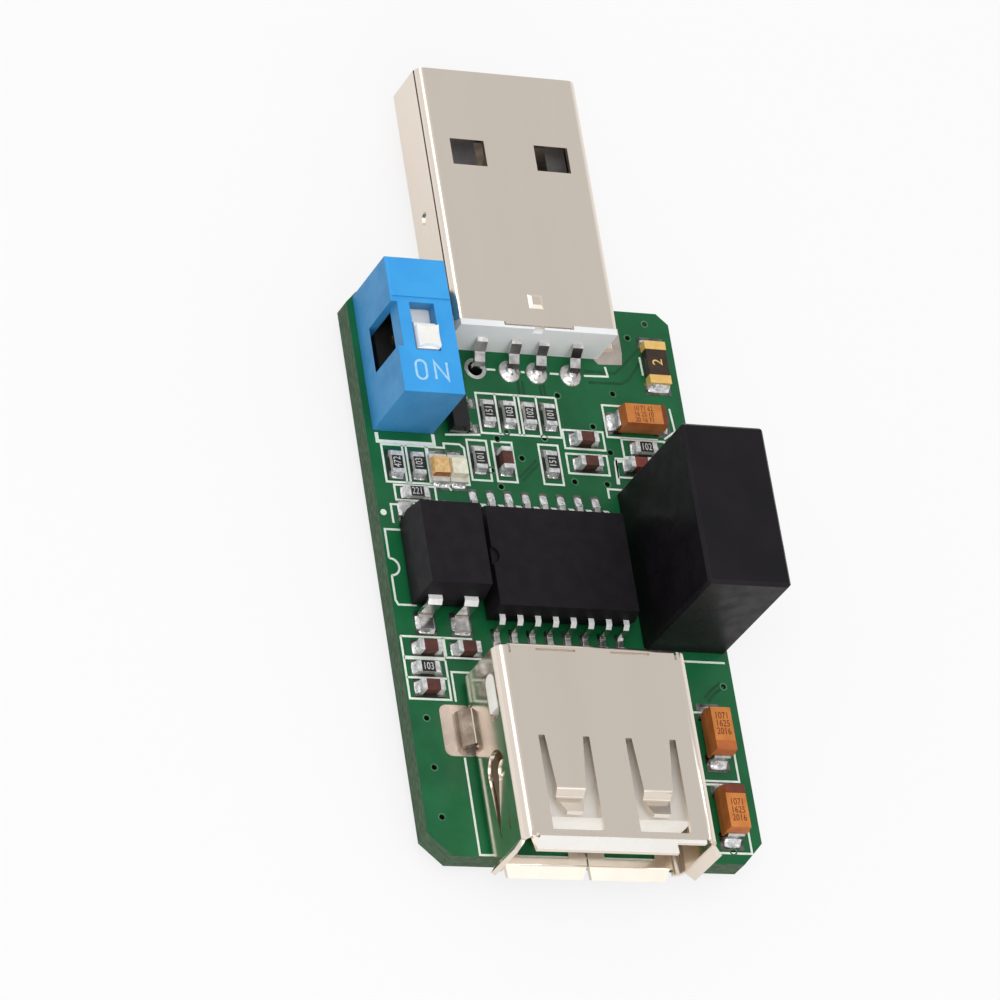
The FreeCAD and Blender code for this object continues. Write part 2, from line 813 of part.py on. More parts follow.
def make_socket_shell():
    """The socket's folded steel shell: a tube with lanced springs, flared lips, legs and a rear flap."""
    tube = socket_section(0, mouth, socket_rear - side_wall_setback, socket_corner)
    tube = tube.cut(socket_section(sheet, mouth - 1, socket_rear + 1, socket_corner - sheet))
    flat_half = socket_side - socket_corner
    opening_end = mouth + finger_root
    flap_start = socket_rear - flap_root
    tools = []
    for side in (-1, 1):
        low = socket_offset + side * finger_spread - finger_opening / 2
        tools.append(block(low, low + finger_opening, mouth + finger_opening_start, opening_end,
                           socket_middle, socket_height + 1))
        tools.append(block(low, low + finger_opening, floor_front + finger_opening_start, opening_end,
                           -1, socket_middle))
        tools.append(side_finger_opening(side))
        tools.append(side_window(side, 0))
        foot = socket_offset + side * socket_side
        tools.append(block(foot - 1, foot + 1, leg_row - leg_width / 2 - flap_relief,
                           leg_row + leg_width / 2 + flap_relief, -1, leg_top))
    tools.append(block_at(socket_offset, flap_start + 1, socket_middle, flap_width + 2 * flap_relief, 2,
                          socket_height))
    tools.append(block(socket_offset - flat_half, socket_offset + flat_half, mouth + socket_block_setback,
                       socket_rear + 1, -1, socket_middle))
    tools.append(block(socket_offset - plug_seam / 2, socket_offset + plug_seam / 2, mouth - 1,
                       socket_rear, -1, sheet))
    tools.append(block(socket_offset - flat_half, socket_offset + flat_half, mouth - 1, floor_front,
                       -1, sheet))
    tube = cut_all(tube, tools)
    flap_level = socket_height - sheet / 2
    flap_path = [(flap_start, flap_level), (socket_rear - sheet / 2, flap_level),
                 (socket_rear - sheet / 2, flap_bottom)]
    flap = bent_strip("yz", flap_path, sheet, flap_bend, socket_offset - flap_width / 2,
                      socket_offset + flap_width / 2)
    slits = [
        block_at(socket_offset + side * fold_slit_spread, socket_rear - fold_slit_setback, socket_middle,
                 fold_slit_length, fold_slit_width, socket_height)
        for side in (-1, 1)
    ]
    flap = cut_all(flap, slits)
    edge = flat_half - relief_hole / 2
    top_lip = flat_lip(socket_offset - flat_half - top_lip_overhang, socket_offset + edge, True)
    missing = block(socket_offset + edge - short_lip_length, socket_offset + edge + 1,
                    mouth - top_lip_reach - 1, mouth - short_lip_depth, socket_middle, socket_height + 2)
    top_lip = top_lip.cut(missing)
    extras = [flap, top_lip]
    extras.append(flat_lip(socket_offset - edge, socket_offset - plug_seam / 2, False))
    extras.append(flat_lip(socket_offset + plug_seam / 2, socket_offset + edge, False))
    for side in (-1, 1):
        extras.append(side_lip(side))
        extras.append(socket_leg(side))
        extras.append(side_finger(side))
        extras.append(flat_finger(side, True))
        extras.append(flat_finger(side, False))
    reliefs = [rod("xy", socket_offset + side * flat_half, mouth, relief_hole / 2, socket_middle,
                   socket_height + 1) for side in (-1, 1)]
    return cut_all(united([tube] + extras), reliefs)


socket_tongue_top = socket_inner_top - socket_tongue_gap
socket_tongue_floor = socket_tongue_top - socket_tongue_thickness


def make_socket_contacts():
    """Sprung contacts under the tongue, each ending in a pin through the board."""
    level = socket_tongue_floor + contact_thickness / 2
    tongue_tip = mouth + socket_tongue_setback
    path = [
        (tongue_tip + 0.7, level + 0.1),
        (tongue_tip + 2.4, level - contact_bow),
        (tongue_tip + 4.6, level),
        (socket_pin_row, level),
        (socket_pin_row, lead_tip),
    ]
    contacts = []
    for place in contact_places:
        middle = socket_offset + place
        contacts.append(folded_strip("yz", path, contact_thickness, contact_bend,
                                     middle - contact_width / 2, middle + contact_width / 2))
    return contacts


def make_socket_insulator(contacts):
    """The block at the back of the socket and the tongue that reaches forward from it."""
    back = socket_rear - sheet
    front = mouth + socket_block_setback
    tongue_tip = mouth + socket_tongue_setback
    core = socket_section(sheet, front, back, socket_corner - sheet / 2)
    foot = block(socket_offset - socket_side + socket_corner, socket_offset + socket_side - socket_corner,
                 front, back, 0, socket_middle)
    tongue = block(socket_offset - socket_tongue_width / 2, socket_offset + socket_tongue_width / 2,
                   tongue_tip, front, socket_tongue_floor, socket_tongue_top)
    barbs = [side_window(side, groove_gap) for side in (-1, 1)]
    cheek_front = front - socket_cheek_reach
    reach = block(socket_offset - socket_side, socket_offset + socket_side, cheek_front, back, 0,
                  socket_height)
    room = socket_section(sheet, cheek_front, back, socket_corner - sheet / 2)
    cheek_middle = socket_middle + side_window_lift
    cheek_half = side_window_height / 2 + socket_cheek_margin
    cheeks = []
    for side in (-1, 1):
        wall = socket_offset + side * (socket_side - sheet)
        tongue_side = socket_offset + side * socket_tongue_width / 2
        cheek = block(min(wall, tongue_side), max(wall, tongue_side), cheek_front, back,
                      cheek_middle - cheek_half, cheek_middle + cheek_half)
        cheeks.append(cheek.common(room))
    corner = flap_bend - sheet / 2
    bevel = prism("yz", [(back + 1, socket_inner_top + 1), (back - corner - 1, socket_inner_top + 1),
                         (back - corner, socket_inner_top), (back, socket_inner_top - corner),
                         (back + 1, socket_inner_top - corner - 1)],
                  socket_offset - socket_side, socket_offset + socket_side)
    body = united([core, foot, tongue] + cheeks).cut(bevel)
    body = united([body] + [barb.common(reach) for barb in barbs])
    grooves = []
    for place in contact_places:
        middle = socket_offset + place
        grooves.append(block(middle - contact_width / 2 - groove_gap, middle + contact_width / 2 + groove_gap,
                             tongue_tip + 0.4, front - 1, socket_tongue_floor - 1,
                             socket_tongue_floor + contact_thickness + groove_gap))
    return cut_all(body, grooves + contacts)


# Slide switch

well_rear = switch_y + well_place + (nub_length + slider_travel) / 2 + slider_gap
well_front = switch_y + well_place - (nub_length + slider_travel) / 2 - slider_gap
nub_front = well_front + slider_gap
nub_rear = nub_front + nub_length
switch_inner_roof = switch_height - switch_roof


def make_switch_housing():
    """The moulded cover: open below, with a stepped top, a well for the slider and a window each side.

    The left side is set back above its window, and both windows have a sill that slopes inward."""
    cover = block_at(switch_x, switch_y, 0, switch_width, switch_length, switch_height)
    cover = cover.makeChamfer(0.15, [edge for edge in cover.Edges if edge.CenterOfMass.z > switch_height / 2])
    hollow = block_at(switch_x, switch_y, -1, switch_width - 2 * switch_wall, switch_length - 2 * switch_wall,
                      switch_inner_roof + 1)
    step_y = switch_y + switch_step_place
    step = block(switch_x - switch_width, switch_x + switch_width, switch_y - switch_length, step_y,
                 switch_height - switch_step, switch_height + 1)
    well = block(switch_x - well_width / 2, switch_x + well_width / 2, well_front, well_rear,
                 switch_inner_roof - 1, switch_height + 1)
    tools = [hollow, step, well]
    for side in (-1, 1):
        outer = switch_x + side * switch_width / 2
        inner = outer - side * switch_wall
        window = [(outer + side, switch_window_bottom), (outer, switch_window_bottom),
                  (inner, switch_window_bottom - switch_sill_drop),
                  (inner - side * 0.1, switch_window_bottom - switch_sill_drop),
                  (inner - side * 0.1, switch_window_top), (outer + side, switch_window_top)]
        tools.append(prism("xz", window, switch_y - switch_window_length / 2,
                           switch_y + switch_window_length / 2))
    left = switch_x - switch_width / 2
    tools.append(block(left - 1, left + switch_recess_depth, switch_y - switch_window_length / 2,
                       switch_y + switch_window_length / 2, switch_window_top, switch_height + 1))
    return cut_all(cover, tools)


def make_switch_slider():
    """The sliding actuator: a nub with hollow ends, on a flange that runs under the cover's roof."""
    top = switch_height + nub_rise
    flange_top = switch_inner_roof - slider_gap
    flange_floor = flange_top - slider_flange_thickness
    nub_width = well_width - 2 * slider_gap
    outline = [
        (nub_front, flange_floor),
        (nub_front, top - nub_edge),
        (nub_front + nub_edge, top),
        (nub_rear - nub_slope, top),
        (nub_rear, switch_height - nub_slope_drop),
        (nub_rear, flange_floor),
    ]
    nub = prism("yz", outline, switch_x - nub_width / 2, switch_x + nub_width / 2)
    dish_radius = nub_length * 1.3
    dish = rod("yz", (nub_front + nub_rear - nub_slope) / 2, top + dish_radius - nub_dish, dish_radius,
               switch_x - nub_width, switch_x + nub_width)
    hollow_radius = ((nub_width / 2) ** 2 + nub_end_hollow ** 2) / (2 * nub_end_hollow)
    above = switch_height - switch_step
    hollow_centres = [
        nub_front + nub_end_hollow - hollow_radius,
        nub_rear - nub_slope - nub_end_hollow + hollow_radius,
    ]
    hollows = [rod("xy", switch_x, place, hollow_radius, above, top + 1) for place in hollow_centres]
    flange = block(switch_x - slider_flange_width / 2, switch_x + slider_flange_width / 2,
                   nub_front - slider_flange_nose, nub_rear + slider_flange_tail, flange_floor, flange_top)
    return united([flange, cut_all(nub, [dish] + hollows)])


def terminal_path(direction):
    """One terminal: a pin through the board and a blade that lies on the base."""
    row = switch_y + direction * switch_pin_spacing / 2
    level = switch_base_thickness + terminal_thickness / 2
    return [(row, lead_tip), (row, level), (row - direction * terminal_blade, level)]


def make_switch_terminal(direction):
    return folded_strip("yz", terminal_path(direction), terminal_thickness, lead_bend,
                        switch_x - terminal_width / 2, switch_x + terminal_width / 2)


def make_switch_base(terminals):
    """The plate that closes the cover from below, flush with it, and holds the terminals."""
    plate = block_at(switch_x, switch_y, 0, switch_width - 2 * switch_wall, switch_length - 2 * switch_wall,
                     switch_base_thickness)
    return plate.cut(Part.makeCompound(terminals))


def make_switch_wiper():
    """The bowed contact spring that the slider carries over the blades."""
    middle = (nub_front + nub_rear) / 2 + 0.3
    low = switch_base_thickness + terminal_thickness + terminal_thickness / 2 + slider_gap
    high = switch_inner_roof - slider_gap - slider_flange_thickness - terminal_thickness / 2  # on the slider
    half = wiper_length / 2
    path = [
        (middle - half, low + 0.25),
        (middle - half + 0.4, low),
        (middle - 0.5, high),
        (middle + 0.5, high),
        (middle + half - 0.4, low),
        (middle + half, low + 0.25),
    ]
    return folded_strip("yz", path, terminal_thickness, lead_bend, switch_x - wiper_width / 2,
                        switch_x + wiper_width / 2)


# Converter block

converter_pin_x = converter_x + converter_pin_offset
converter_pin_places = [
    converter_y + (index - (converter_pin_count - 1) / 2) * converter_pin_pitch
    for index in range(converter_pin_count)
]


def make_converter_pins():
    return [
        block_at(converter_pin_x, place, lead_tip, terminal_thickness, terminal_width,
                 converter_pin_depth - lead_tip)
        for place in converter_pin_places
    ]


def make_converter_case():
    case = block_at(converter_x, converter_y, 0, converter_width, converter_length, converter_height)
    case = case.makeChamfer(converter_edge, [edge for edge in case.Edges if edge.BoundBox.ZMax > 0])
    hollow = block_at(converter_x, converter_y, -1, converter_width - 2 * converter_wall,
                      converter_length - 2 * converter_wall, converter_height - converter_wall + 1)
    return case.cut(hollow)


def make_converter_potting(pins):
    fill = block_at(converter_x, converter_y, converter_fill_drop, converter_width - 2 * converter_wall,
                    converter_length - 2 * converter_wall,
                    converter_height - converter_wall - converter_fill_drop)
    return fill.cut(Part.makeCompound(pins))


# Chip, coupler and transistor

def gull_lead(plane, side, centre, waist, body_half, span_half, foot, thickness, low, high):
    """A lead that leaves a body's waist, turns down and ends in a foot on the board."""
    shoulder = body_half + 0.45 * (span_half - foot - body_half) + thickness
    heel = span_half - foot
    path = [
        (centre + side * (body_half - lead_root), waist),
        (centre + side * shoulder, waist),
        (centre + side * heel, thickness / 2),
        (centre + side * span_half, thickness / 2),
    ]
    return folded_strip(plane, path, thickness, lead_bend, low, high)


def make_chip_leads():
    leads = []
    waist = chip_standoff + chip_height / 2
    for side in (-1, 1):
        for index in range(chip_leads_a_side):
            middle = chip_x + (index - (chip_leads_a_side - 1) / 2) * chip_pitch
            leads.append(gull_lead("yz", side, chip_y, waist, chip_width / 2, chip_lead_span / 2, chip_foot,
                                   lead_thickness, middle - chip_lead_width / 2,
                                   middle + chip_lead_width / 2))
    return leads


def make_chip_body(leads):
    body = drafted_body(chip_x, chip_y, chip_standoff, chip_length, chip_width, chip_height, moulding_draft)
    top = chip_standoff + chip_height
    notch = rod("xy", chip_x - chip_length / 2, chip_y, chip_notch, top - chip_notch_depth, top + 1)
    return cut_all(body, [notch] + leads)


def make_coupler_leads():
    leads = []
    waist = coupler_standoff + coupler_height / 2
    for side in (-1, 1):
        for place in (-coupler_pitch / 2, coupler_pitch / 2):
            middle = coupler_x + place
            leads.append(gull_lead("yz", side, coupler_y, waist, coupler_length / 2, coupler_lead_span / 2,
                                   coupler_foot, contact_thickness, middle - coupler_lead_width / 2,
                                   middle + coupler_lead_width / 2))
    return leads


def make_coupler_body(leads):
    body = drafted_body(coupler_x, coupler_y, coupler_standoff, coupler_width, coupler_length,
                        coupler_height, moulding_draft)
    return cut_all(body, leads)


transistor_x = switch_x + switch_width / 2 + transistor_gap + transistor_width / 2


transistor_y = rear_row - transistor_shift


def make_transistor_leads():
    waist = transistor_standoff + transistor_height / 2
    half = transistor_width / 2
    leads = []
    for side, place in ((1, -transistor_pitch / 2), (1, transistor_pitch / 2), (-1, 0)):
        middle = transistor_y + place
        leads.append(gull_lead("xz", side, transistor_x, waist, half, half + transistor_lead_reach,
                               transistor_foot, transistor_lead_thickness,
                               middle - transistor_lead_width / 2, middle + transistor_lead_width / 2))
    return leads


def make_transistor_body(leads):
    body = drafted_body(transistor_x, transistor_y, transistor_standoff, transistor_width,
                        transistor_length, transistor_height, transistor_draft)
    return cut_all(body, leads)


# Small parts. Each place is its centre on the board, and its direction is the way its length runs.

coupler_front = coupler_y - coupler_lead_span / 2
side_column = left_edge + side_column_inset
side_rear = coupler_front - side_column_lead
left_cell = left_edge + left_cell_inset
resistor_places = [
    (chip_x - rear_row_first, rear_row, "y"),
    (chip_x - rear_row_first + small_part_pitch, rear_row, "y"),
    (chip_x - rear_row_first + 2 * small_part_pitch, rear_row, "y"),
    (chip_x - rear_row_first + 3 * small_part_pitch, rear_row, "y"),
    (left_cell, left_cell_row, "y"),
    (left_cell + left_cell_pitch, left_cell_row, "y"),
    (chip_x - beside_lamp, middle_row, "y"),
    (chip_x + right_of_middle, middle_row, "y"),
    (left_edge + coupler_end_inset, coupler_rear + coupler_end_gap, "x"),
    (side_column, side_rear - chip_part_width - side_column_pitch, "x"),
    (right_edge - right_pair_inset, middle_row + right_pair_shift, "x"),
]
capacitor_places = [
    (chip_x - second_beside_lamp, middle_row - below_row_shift, "y"),
    (chip_x + cap_column, middle_row + cap_rear_shift, "x"),
    (chip_x + cap_column, middle_row + cap_front_shift, "x"),
    (side_column + side_first_shift, side_rear - chip_part_width, "x"),
    (left_edge + second_column_inset, side_rear - chip_part_width, "x"),
    (side_column, side_rear - chip_part_width - 2 * side_column_pitch, "x"),
    (right_edge - right_low_inset, middle_row + right_low_shift, "x"),
]
tantalum_places = [
    (right_edge - tantalum_rear_inset, rear_row - tantalum_rear_shift, "x"),
    (right_edge - tantalum_side_inset, tantalum_first + tantalum_spacing, "y"),
    (right_edge - tantalum_side_inset, tantalum_first, "y"),
]
lamp_places = [
    (left_edge + lamp_inset, middle_row - lamp_shift, "y"),
    (left_edge + lamp_inset + lamp_pitch, middle_row - lamp_shift, "y"),
]
fuse_place = (right_edge - fuse_inset, rear_edge - fuse_rear_inset, "y")


def laid(place, length, width):
    """Half the extent across and along the board of a part that lies along a direction."""
    return (length / 2, width / 2) if place[2] == "x" else (width / 2, length / 2)


def banded_chip(place, length, width, height, band):
    """A ceramic body with a slightly proud metal cap over each end."""
    half_x, half_y = laid(place, length, width)
    x, y, direction = place
    core = block(x - half_x + cap_proud, x + half_x - cap_proud, y - half_y + cap_proud,
                 y + half_y - cap_proud, cap_proud, height - cap_proud)
    caps = []
    for side in (-1, 1):
        if direction == "x":
            end = x + side * half_x
            inner = end - side * band
            caps.append(block(min(end, inner), max(end, inner), y - half_y, y + half_y, 0, height))
        else:
            end = y + side * half_y
            inner = end - side * band
            caps.append(block(x - half_x, x + half_x, min(end, inner), max(end, inner), 0, height))
    return united([core] + caps)


def make_tantalum_body(place):
    half_x, half_y = laid(place, tantalum_length, tantalum_width)
    return drafted_body(place[0], place[1], tantalum_standoff, 2 * half_x, 2 * half_y, tantalum_height,
                        tantalum_draft)


def make_tantalum_leads(place, body):
    """Two flat straps, from the ends of the body down and under it."""
    x, y, direction = place
    centre, middle = (x, y) if direction == "x" else (y, x)
    plane = "xz" if direction == "x" else "yz"
    half = tantalum_length / 2
    straps = []
    for side in (-1, 1):
        outside = centre + side * (half + tantalum_lead_stand)
        sole = tantalum_lead_thickness / 2
        path = [
            (centre + side * (half - tantalum_lead_root), tantalum_lead_height),
            (outside, tantalum_lead_height),
            (outside, sole),
            (centre + side * (half - tantalum_lead_foot), sole),
        ]
        straps.append(folded_strip(plane, path, tantalum_lead_thickness, sole,
                                   middle - tantalum_lead_width / 2, middle + tantalum_lead_width / 2))
    return straps


def make_lamp_base(place):
    half_x, half_y = laid(place, lamp_length, lamp_width)
    return block(place[0] - half_x, place[0] + half_x, place[1] - half_y, place[1] + half_y, 0,
                 lamp_base_height)


def make_lamp_lens(place):
    half_x, half_y = laid(place, lamp_lens_length, lamp_width)

    def ring(level, inset):
        x0 = place[0] - half_x + inset
        x1 = place[0] + half_x - inset
        y0 = place[1] - half_y + inset
        y1 = place[1] + half_y - inset
        corners = [V(x0, y0, level), V(x1, y0, level), V(x1, y1, level), V(x0, y1, level)]
        return Part.makePolygon(corners + corners[:1])

    return Part.makeLoft([ring(lamp_base_height, 0), ring(lamp_base_height + lamp_lens_height,
                                                          lamp_lens_draft)], True, True)


# Board

plug_pins = [(plug_offset + place, plug_pin_row) for place in contact_places]
socket_pins = [(socket_offset + place, socket_pin_row) for place in contact_places]
switch_pins = [(switch_x, switch_y + side * switch_pin_spacing / 2) for side in (-1, 1)]
converter_pins = [(converter_pin_x, place) for place in converter_pin_places]
ear_pegs = [(plug_offset + side * ear_peg, ear_row) for side in (-1, 1)]
leg_pegs = [(socket_offset + side * leg_centre, leg_row) for side in (-1, 1)]
via_places = [(left_edge + side_via_inset, side_via_first + index * side_via_pitch) for index in range(3)]
via_places += [
    (right_edge - 0.76, socket_rear + 0.25),
    (right_edge - tantalum_side_inset, side_via_first / 3),
    (left_edge + 5.82, middle_row - 2.13),
    (chip_x - 2.27, middle_row - 1.9),
    (chip_x - 2.76, middle_row - 0.7),
    (chip_x - 0.4, middle_row + 0.33),
    (chip_x + 1.5, middle_row + 1.95),
    (chip_x - 1.99, middle_row + 1.7),
    (chip_x + 3.0, rear_row + 1.7),
    (chip_x + 7.15, rear_row + 2.1),
    (chip_x + 5.25, rear_row - 0.5),
    (chip_x + 6.22, middle_row + 1.17),
    (chip_x + 5.58, middle_row - 1.25),
    (chip_x + 3.2, middle_row - 1.2),
    (right_edge - 3.29, rear_edge - 2.05),
]


def make_board():
    """The board, cut back for the sunk plug and drilled for every lead, leg and via."""
    front = front_corner_cut
    rear = rear_corner_cut
    slot_half = plug_side + plug_slot_gap
    slot_front = plug_rear - plug_slot_gap
    outline = [
        (left_edge, front),
        (left_edge + front, 0),
        (right_edge - front, 0),
        (right_edge, front),
        (right_edge, rear_edge - rear),
        (right_edge - rear, rear_edge),
        (plug_offset + slot_half, rear_edge),
        (plug_offset + slot_half, slot_front),
        (plug_offset - slot_half, slot_front),
        (plug_offset - slot_half, rear_edge),
        (left_edge + rear, rear_edge),
        (left_edge, rear_edge - rear),
    ]
    board = prism("xy", outline, underside, 0)
    tools = []
    for x, y in plug_pins + socket_pins + switch_pins + converter_pins:
        tools.append(rod("xy", x, y, lead_hole / 2, underside - 1, 1))
    for x, y in via_places:
        tools.append(many_sided(x, y, via_hole / 2, via_sides, underside - 1, 1))
    for x, y in ear_pegs:
        tools.append(block_at(x, y, underside - 1, sheet + 2 * ear_slot_gap, ear_length + 2 * ear_slot_gap,
                              board_thickness + 2))
    for x, y in leg_pegs:
        tools.append(block_at(x, y, underside - 1, sheet + 2 * leg_slot_gap, leg_width + 2 * leg_slot_gap,
                              board_thickness + 2))
    return cut_all(board, tools)


# Solder

def toe(x, y, side, direction, width, reach, rise):
    """A wedge of solder at the end of a part, x and y being the middle of that end at the board."""
    if direction == "x":
        outline = [(x, 0), (x + side * reach, 0), (x + side * reach, rise * 0.25), (x, rise)]
        return prism("xz", outline, y - width / 2, y + width / 2)
    outline = [(y, 0), (y + side * reach, 0), (y + side * reach, rise * 0.25), (y, rise)]
    return prism("yz", outline, x - width / 2, x + width / 2)


def toes_of(place, length, width, rise):
    x, y, direction = place
    wedges = []
    for side in (-1, 1):
        end_x = x + side * length / 2 if direction == "x" else x
        end_y = y + side * length / 2 if direction == "y" else y
        wedges.append(toe(end_x, end_y, side, direction, width, solder_toe, rise))
    return wedges


def make_solder_fillets():
    """The wedges of solder at the ends of every part that is soldered on the board's face."""
    wedges = []
    for place in resistor_places + capacitor_places:
        wedges += toes_of(place, chip_part_length, chip_part_width, solder_rise)
    wedges += toes_of(fuse_place, fuse_length, fuse_width * 0.9, solder_rise)
    for place in lamp_places:
        wedges += toes_of(place, lamp_length, lamp_width * 0.85, solder_rise)
    for place in tantalum_places:
        span = tantalum_length + 2 * tantalum_lead_stand + tantalum_lead_thickness
        wedges += toes_of(place, span, tantalum_lead_width, solder_rise)
    for side in (-1, 1):
        for index in range(chip_leads_a_side):
            middle = chip_x + (index - (chip_leads_a_side - 1) / 2) * chip_pitch
            wedges.append(toe(middle, chip_y + side * chip_lead_span / 2, side, "y", chip_lead_width * 1.3,
                              solder_toe * 1.4, lead_thickness))
        for place in (-coupler_pitch / 2, coupler_pitch / 2):
            wedges.append(toe(coupler_x + place, coupler_y + side * coupler_lead_span / 2, side, "y",
                              coupler_lead_width, solder_toe * 0.5, contact_thickness))
    return Part.makeCompound(wedges)


def make_solder_joints(leads):
    """The cones of solder round every lead under the board."""
    cones = []
    for x, y in plug_pins + socket_pins + switch_pins + converter_pins:
        cones.append(many_sided(x, y, joint_tip, joint_sides, underside - joint_height, underside,
                                joint_radius))
    for pegs, width in ((ear_pegs, ear_length), (leg_pegs, leg_width)):
        for x, y in pegs:
            cones.append(many_sided(x, y, joint_tip, joint_sides, underside - joint_height, underside,
                                    joint_radius, width - 2 * joint_tip))
    joints = []
    for cone in cones:
        joints.append(cone.cut(Part.makeCompound(leads)))
    return Part.makeCompound([solid for joint in joints for solid in joint.Solids])


def make_solder_domes(contacts):
    """The low domes of solder on top, round the plug's pins. The first hole is left open above."""
    domes = []
    for x, y in plug_pins[1:]:
        dome = many_sided(x, y, dome_radius, joint_sides, 0, dome_height, dome_tip)
        domes.append(dome.cut(Part.makeCompound(contacts)))
    return Part.makeCompound([solid for dome in domes for solid in dome.Solids])


# Building

plug_contacts = make_plug_contacts()
plug_shell = make_plug_shell()
socket_contacts = make_socket_contacts()
socket_shell = make_socket_shell()
terminals = [make_switch_terminal(-1), make_switch_terminal(1)]
converter_leads = make_converter_pins()
chip_leads = make_chip_leads()
coupler_leads = make_coupler_leads()
transistor_leads = make_transistor_leads()

keep("circuit_board", make_board())
keep("plug_shell", plug_shell)
keep("plug_insulator", make_plug_insulator(plug_contacts))
for number, contact in enumerate(plug_contacts, 1):
    keep("plug_contact_%d" % number, contact)
keep("socket_shell", socket_shell)
keep("socket_insulator", make_socket_insulator(socket_contacts))
for number, contact in enumerate(socket_contacts, 1):
    keep("socket_contact_%d" % number, contact)
keep("switch_housing", make_switch_housing())
keep("switch_base", make_switch_base(terminals))
keep("switch_slider", make_switch_slider())
keep("switch_wiper", make_switch_wiper())
keep("switch_terminal_front", terminals[0])
keep("switch_terminal_rear", terminals[1])
keep("converter_case", make_converter_case())
keep("converter_potting", make_converter_potting(converter_leads))
keep("converter_pins", Part.makeCompound(converter_leads))
keep("isolator_chip", make_chip_body(chip_leads))
keep("isolator_leads", Part.makeCompound(chip_leads))
keep("coupler_body", make_coupler_body(coupler_leads))
keep("coupler_leads", Part.makeCompound(coupler_leads))
keep("transistor_body", make_transistor_body(transistor_leads))
keep("transistor_leads", Part.makeCompound(transistor_leads))
for number, place in enumerate(resistor_places, 1):
    keep("resistor_%d" % number, banded_chip(place, chip_part_length, chip_part_width, resistor_height,
                                             cap_band))
for number, place in enumerate(capacitor_places, 1):
    keep("capacitor_%d" % number, banded_chip(place, chip_part_length, chip_part_width, capacitor_height,
                                              cap_band))
tantalum_leads = []
for number, place in enumerate(tantalum_places, 1):
    body = make_tantalum_body(place)
    straps = make_tantalum_leads(place, body)
    tantalum_leads += straps
    keep("tantalum_%d" % number, cut_all(body, straps))
keep("tantalum_leads", Part.makeCompound(tantalum_leads))
keep("fuse", banded_chip(fuse_place, fuse_length, fuse_width, fuse_height, fuse_band))
keep("lamp_bases", Part.makeCompound([make_lamp_base(place) for place in lamp_places]))
keep("amber_lamp_lens", make_lamp_lens(lamp_places[0]))
keep("white_lamp_lens", make_lamp_lens(lamp_places[1]))
keep("solder_fillets", make_solder_fillets())
keep("solder_domes", make_solder_domes(plug_contacts))
through_leads = plug_contacts + socket_contacts + terminals + converter_leads + [plug_shell, socket_shell]
keep("solder_joints", make_solder_joints(through_leads))

for name, shape in pieces.items():
    shape.exportStep("parts/%s.step" % name)
    state = "valid" if shape.isValid() else "bad"
    print(name, len(shape.Solids), "solids", round(shape.Volume, 3), "mm3", state)
print(len(pieces), "pieces")
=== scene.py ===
import bmesh
import bpy
import math
from mathutils import Matrix, Vector


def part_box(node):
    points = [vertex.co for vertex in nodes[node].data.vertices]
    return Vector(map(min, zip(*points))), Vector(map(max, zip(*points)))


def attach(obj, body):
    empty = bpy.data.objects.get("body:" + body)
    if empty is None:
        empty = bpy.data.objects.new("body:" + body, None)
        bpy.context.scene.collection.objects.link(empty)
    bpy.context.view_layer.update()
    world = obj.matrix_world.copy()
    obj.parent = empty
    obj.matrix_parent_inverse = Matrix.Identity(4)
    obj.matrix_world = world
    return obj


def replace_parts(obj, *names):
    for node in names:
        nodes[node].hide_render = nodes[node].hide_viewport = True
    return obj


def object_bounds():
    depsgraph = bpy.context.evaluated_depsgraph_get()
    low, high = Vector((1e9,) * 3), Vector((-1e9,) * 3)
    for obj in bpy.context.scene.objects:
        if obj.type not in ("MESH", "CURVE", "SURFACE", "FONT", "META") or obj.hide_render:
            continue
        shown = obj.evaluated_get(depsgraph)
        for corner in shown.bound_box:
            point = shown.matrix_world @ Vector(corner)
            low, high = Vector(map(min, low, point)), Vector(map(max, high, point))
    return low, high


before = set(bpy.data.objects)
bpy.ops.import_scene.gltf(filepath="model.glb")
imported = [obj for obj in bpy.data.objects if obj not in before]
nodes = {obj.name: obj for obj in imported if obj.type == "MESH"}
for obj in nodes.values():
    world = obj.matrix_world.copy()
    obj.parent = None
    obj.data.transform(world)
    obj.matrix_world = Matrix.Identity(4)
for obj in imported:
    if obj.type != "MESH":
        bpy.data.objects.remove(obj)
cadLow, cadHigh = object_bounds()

# A USB isolator on a pale floor: the board with its mask, print and solder, the two steel connectors,
# the slide switch, the chips and the small parts round them. Sizes and places are in millimetres on the
# board: x from its centre line, y back from its front edge, z up from its top face.

mm = 0.001
boardLow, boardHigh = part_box("circuit_board")
leftEdge = boardLow.x / mm
rightEdge = boardHigh.x / mm
boardLength = (boardHigh.y - boardLow.y) / mm
boardThickness = (boardHigh.z - boardLow.z) / mm


def onBoard(x, y, z=0.0):
    # a place on the board, in the frame's metres
    return Vector((x * mm, boardLow.y + y * mm, boardHigh.z + z * mm))


def toBoard(point):
    # and the way back
    return Vector((point.x / mm, (point.y - boardLow.y) / mm, (point.z - boardHigh.z) / mm))


def boardBox(node):
    low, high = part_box(node)
    return toBoard(low), toBoard(high)


def boardMiddle(node):
    low, high = boardBox(node)
    return (low + high) / 2


def alongX(node):
    low, high = boardBox(node)
    return high.x - low.x > high.y - low.y


def paint(red, green, blue):
    # 8-bit screen colour to the linear colour that a shader takes
    tones = []
    for value in (red, green, blue):
        share = value / 255
        tones.append(share / 12.92 if share <= 0.04045 else ((share + 0.055) / 1.055) ** 2.4)
    return (*tones, 1.0)


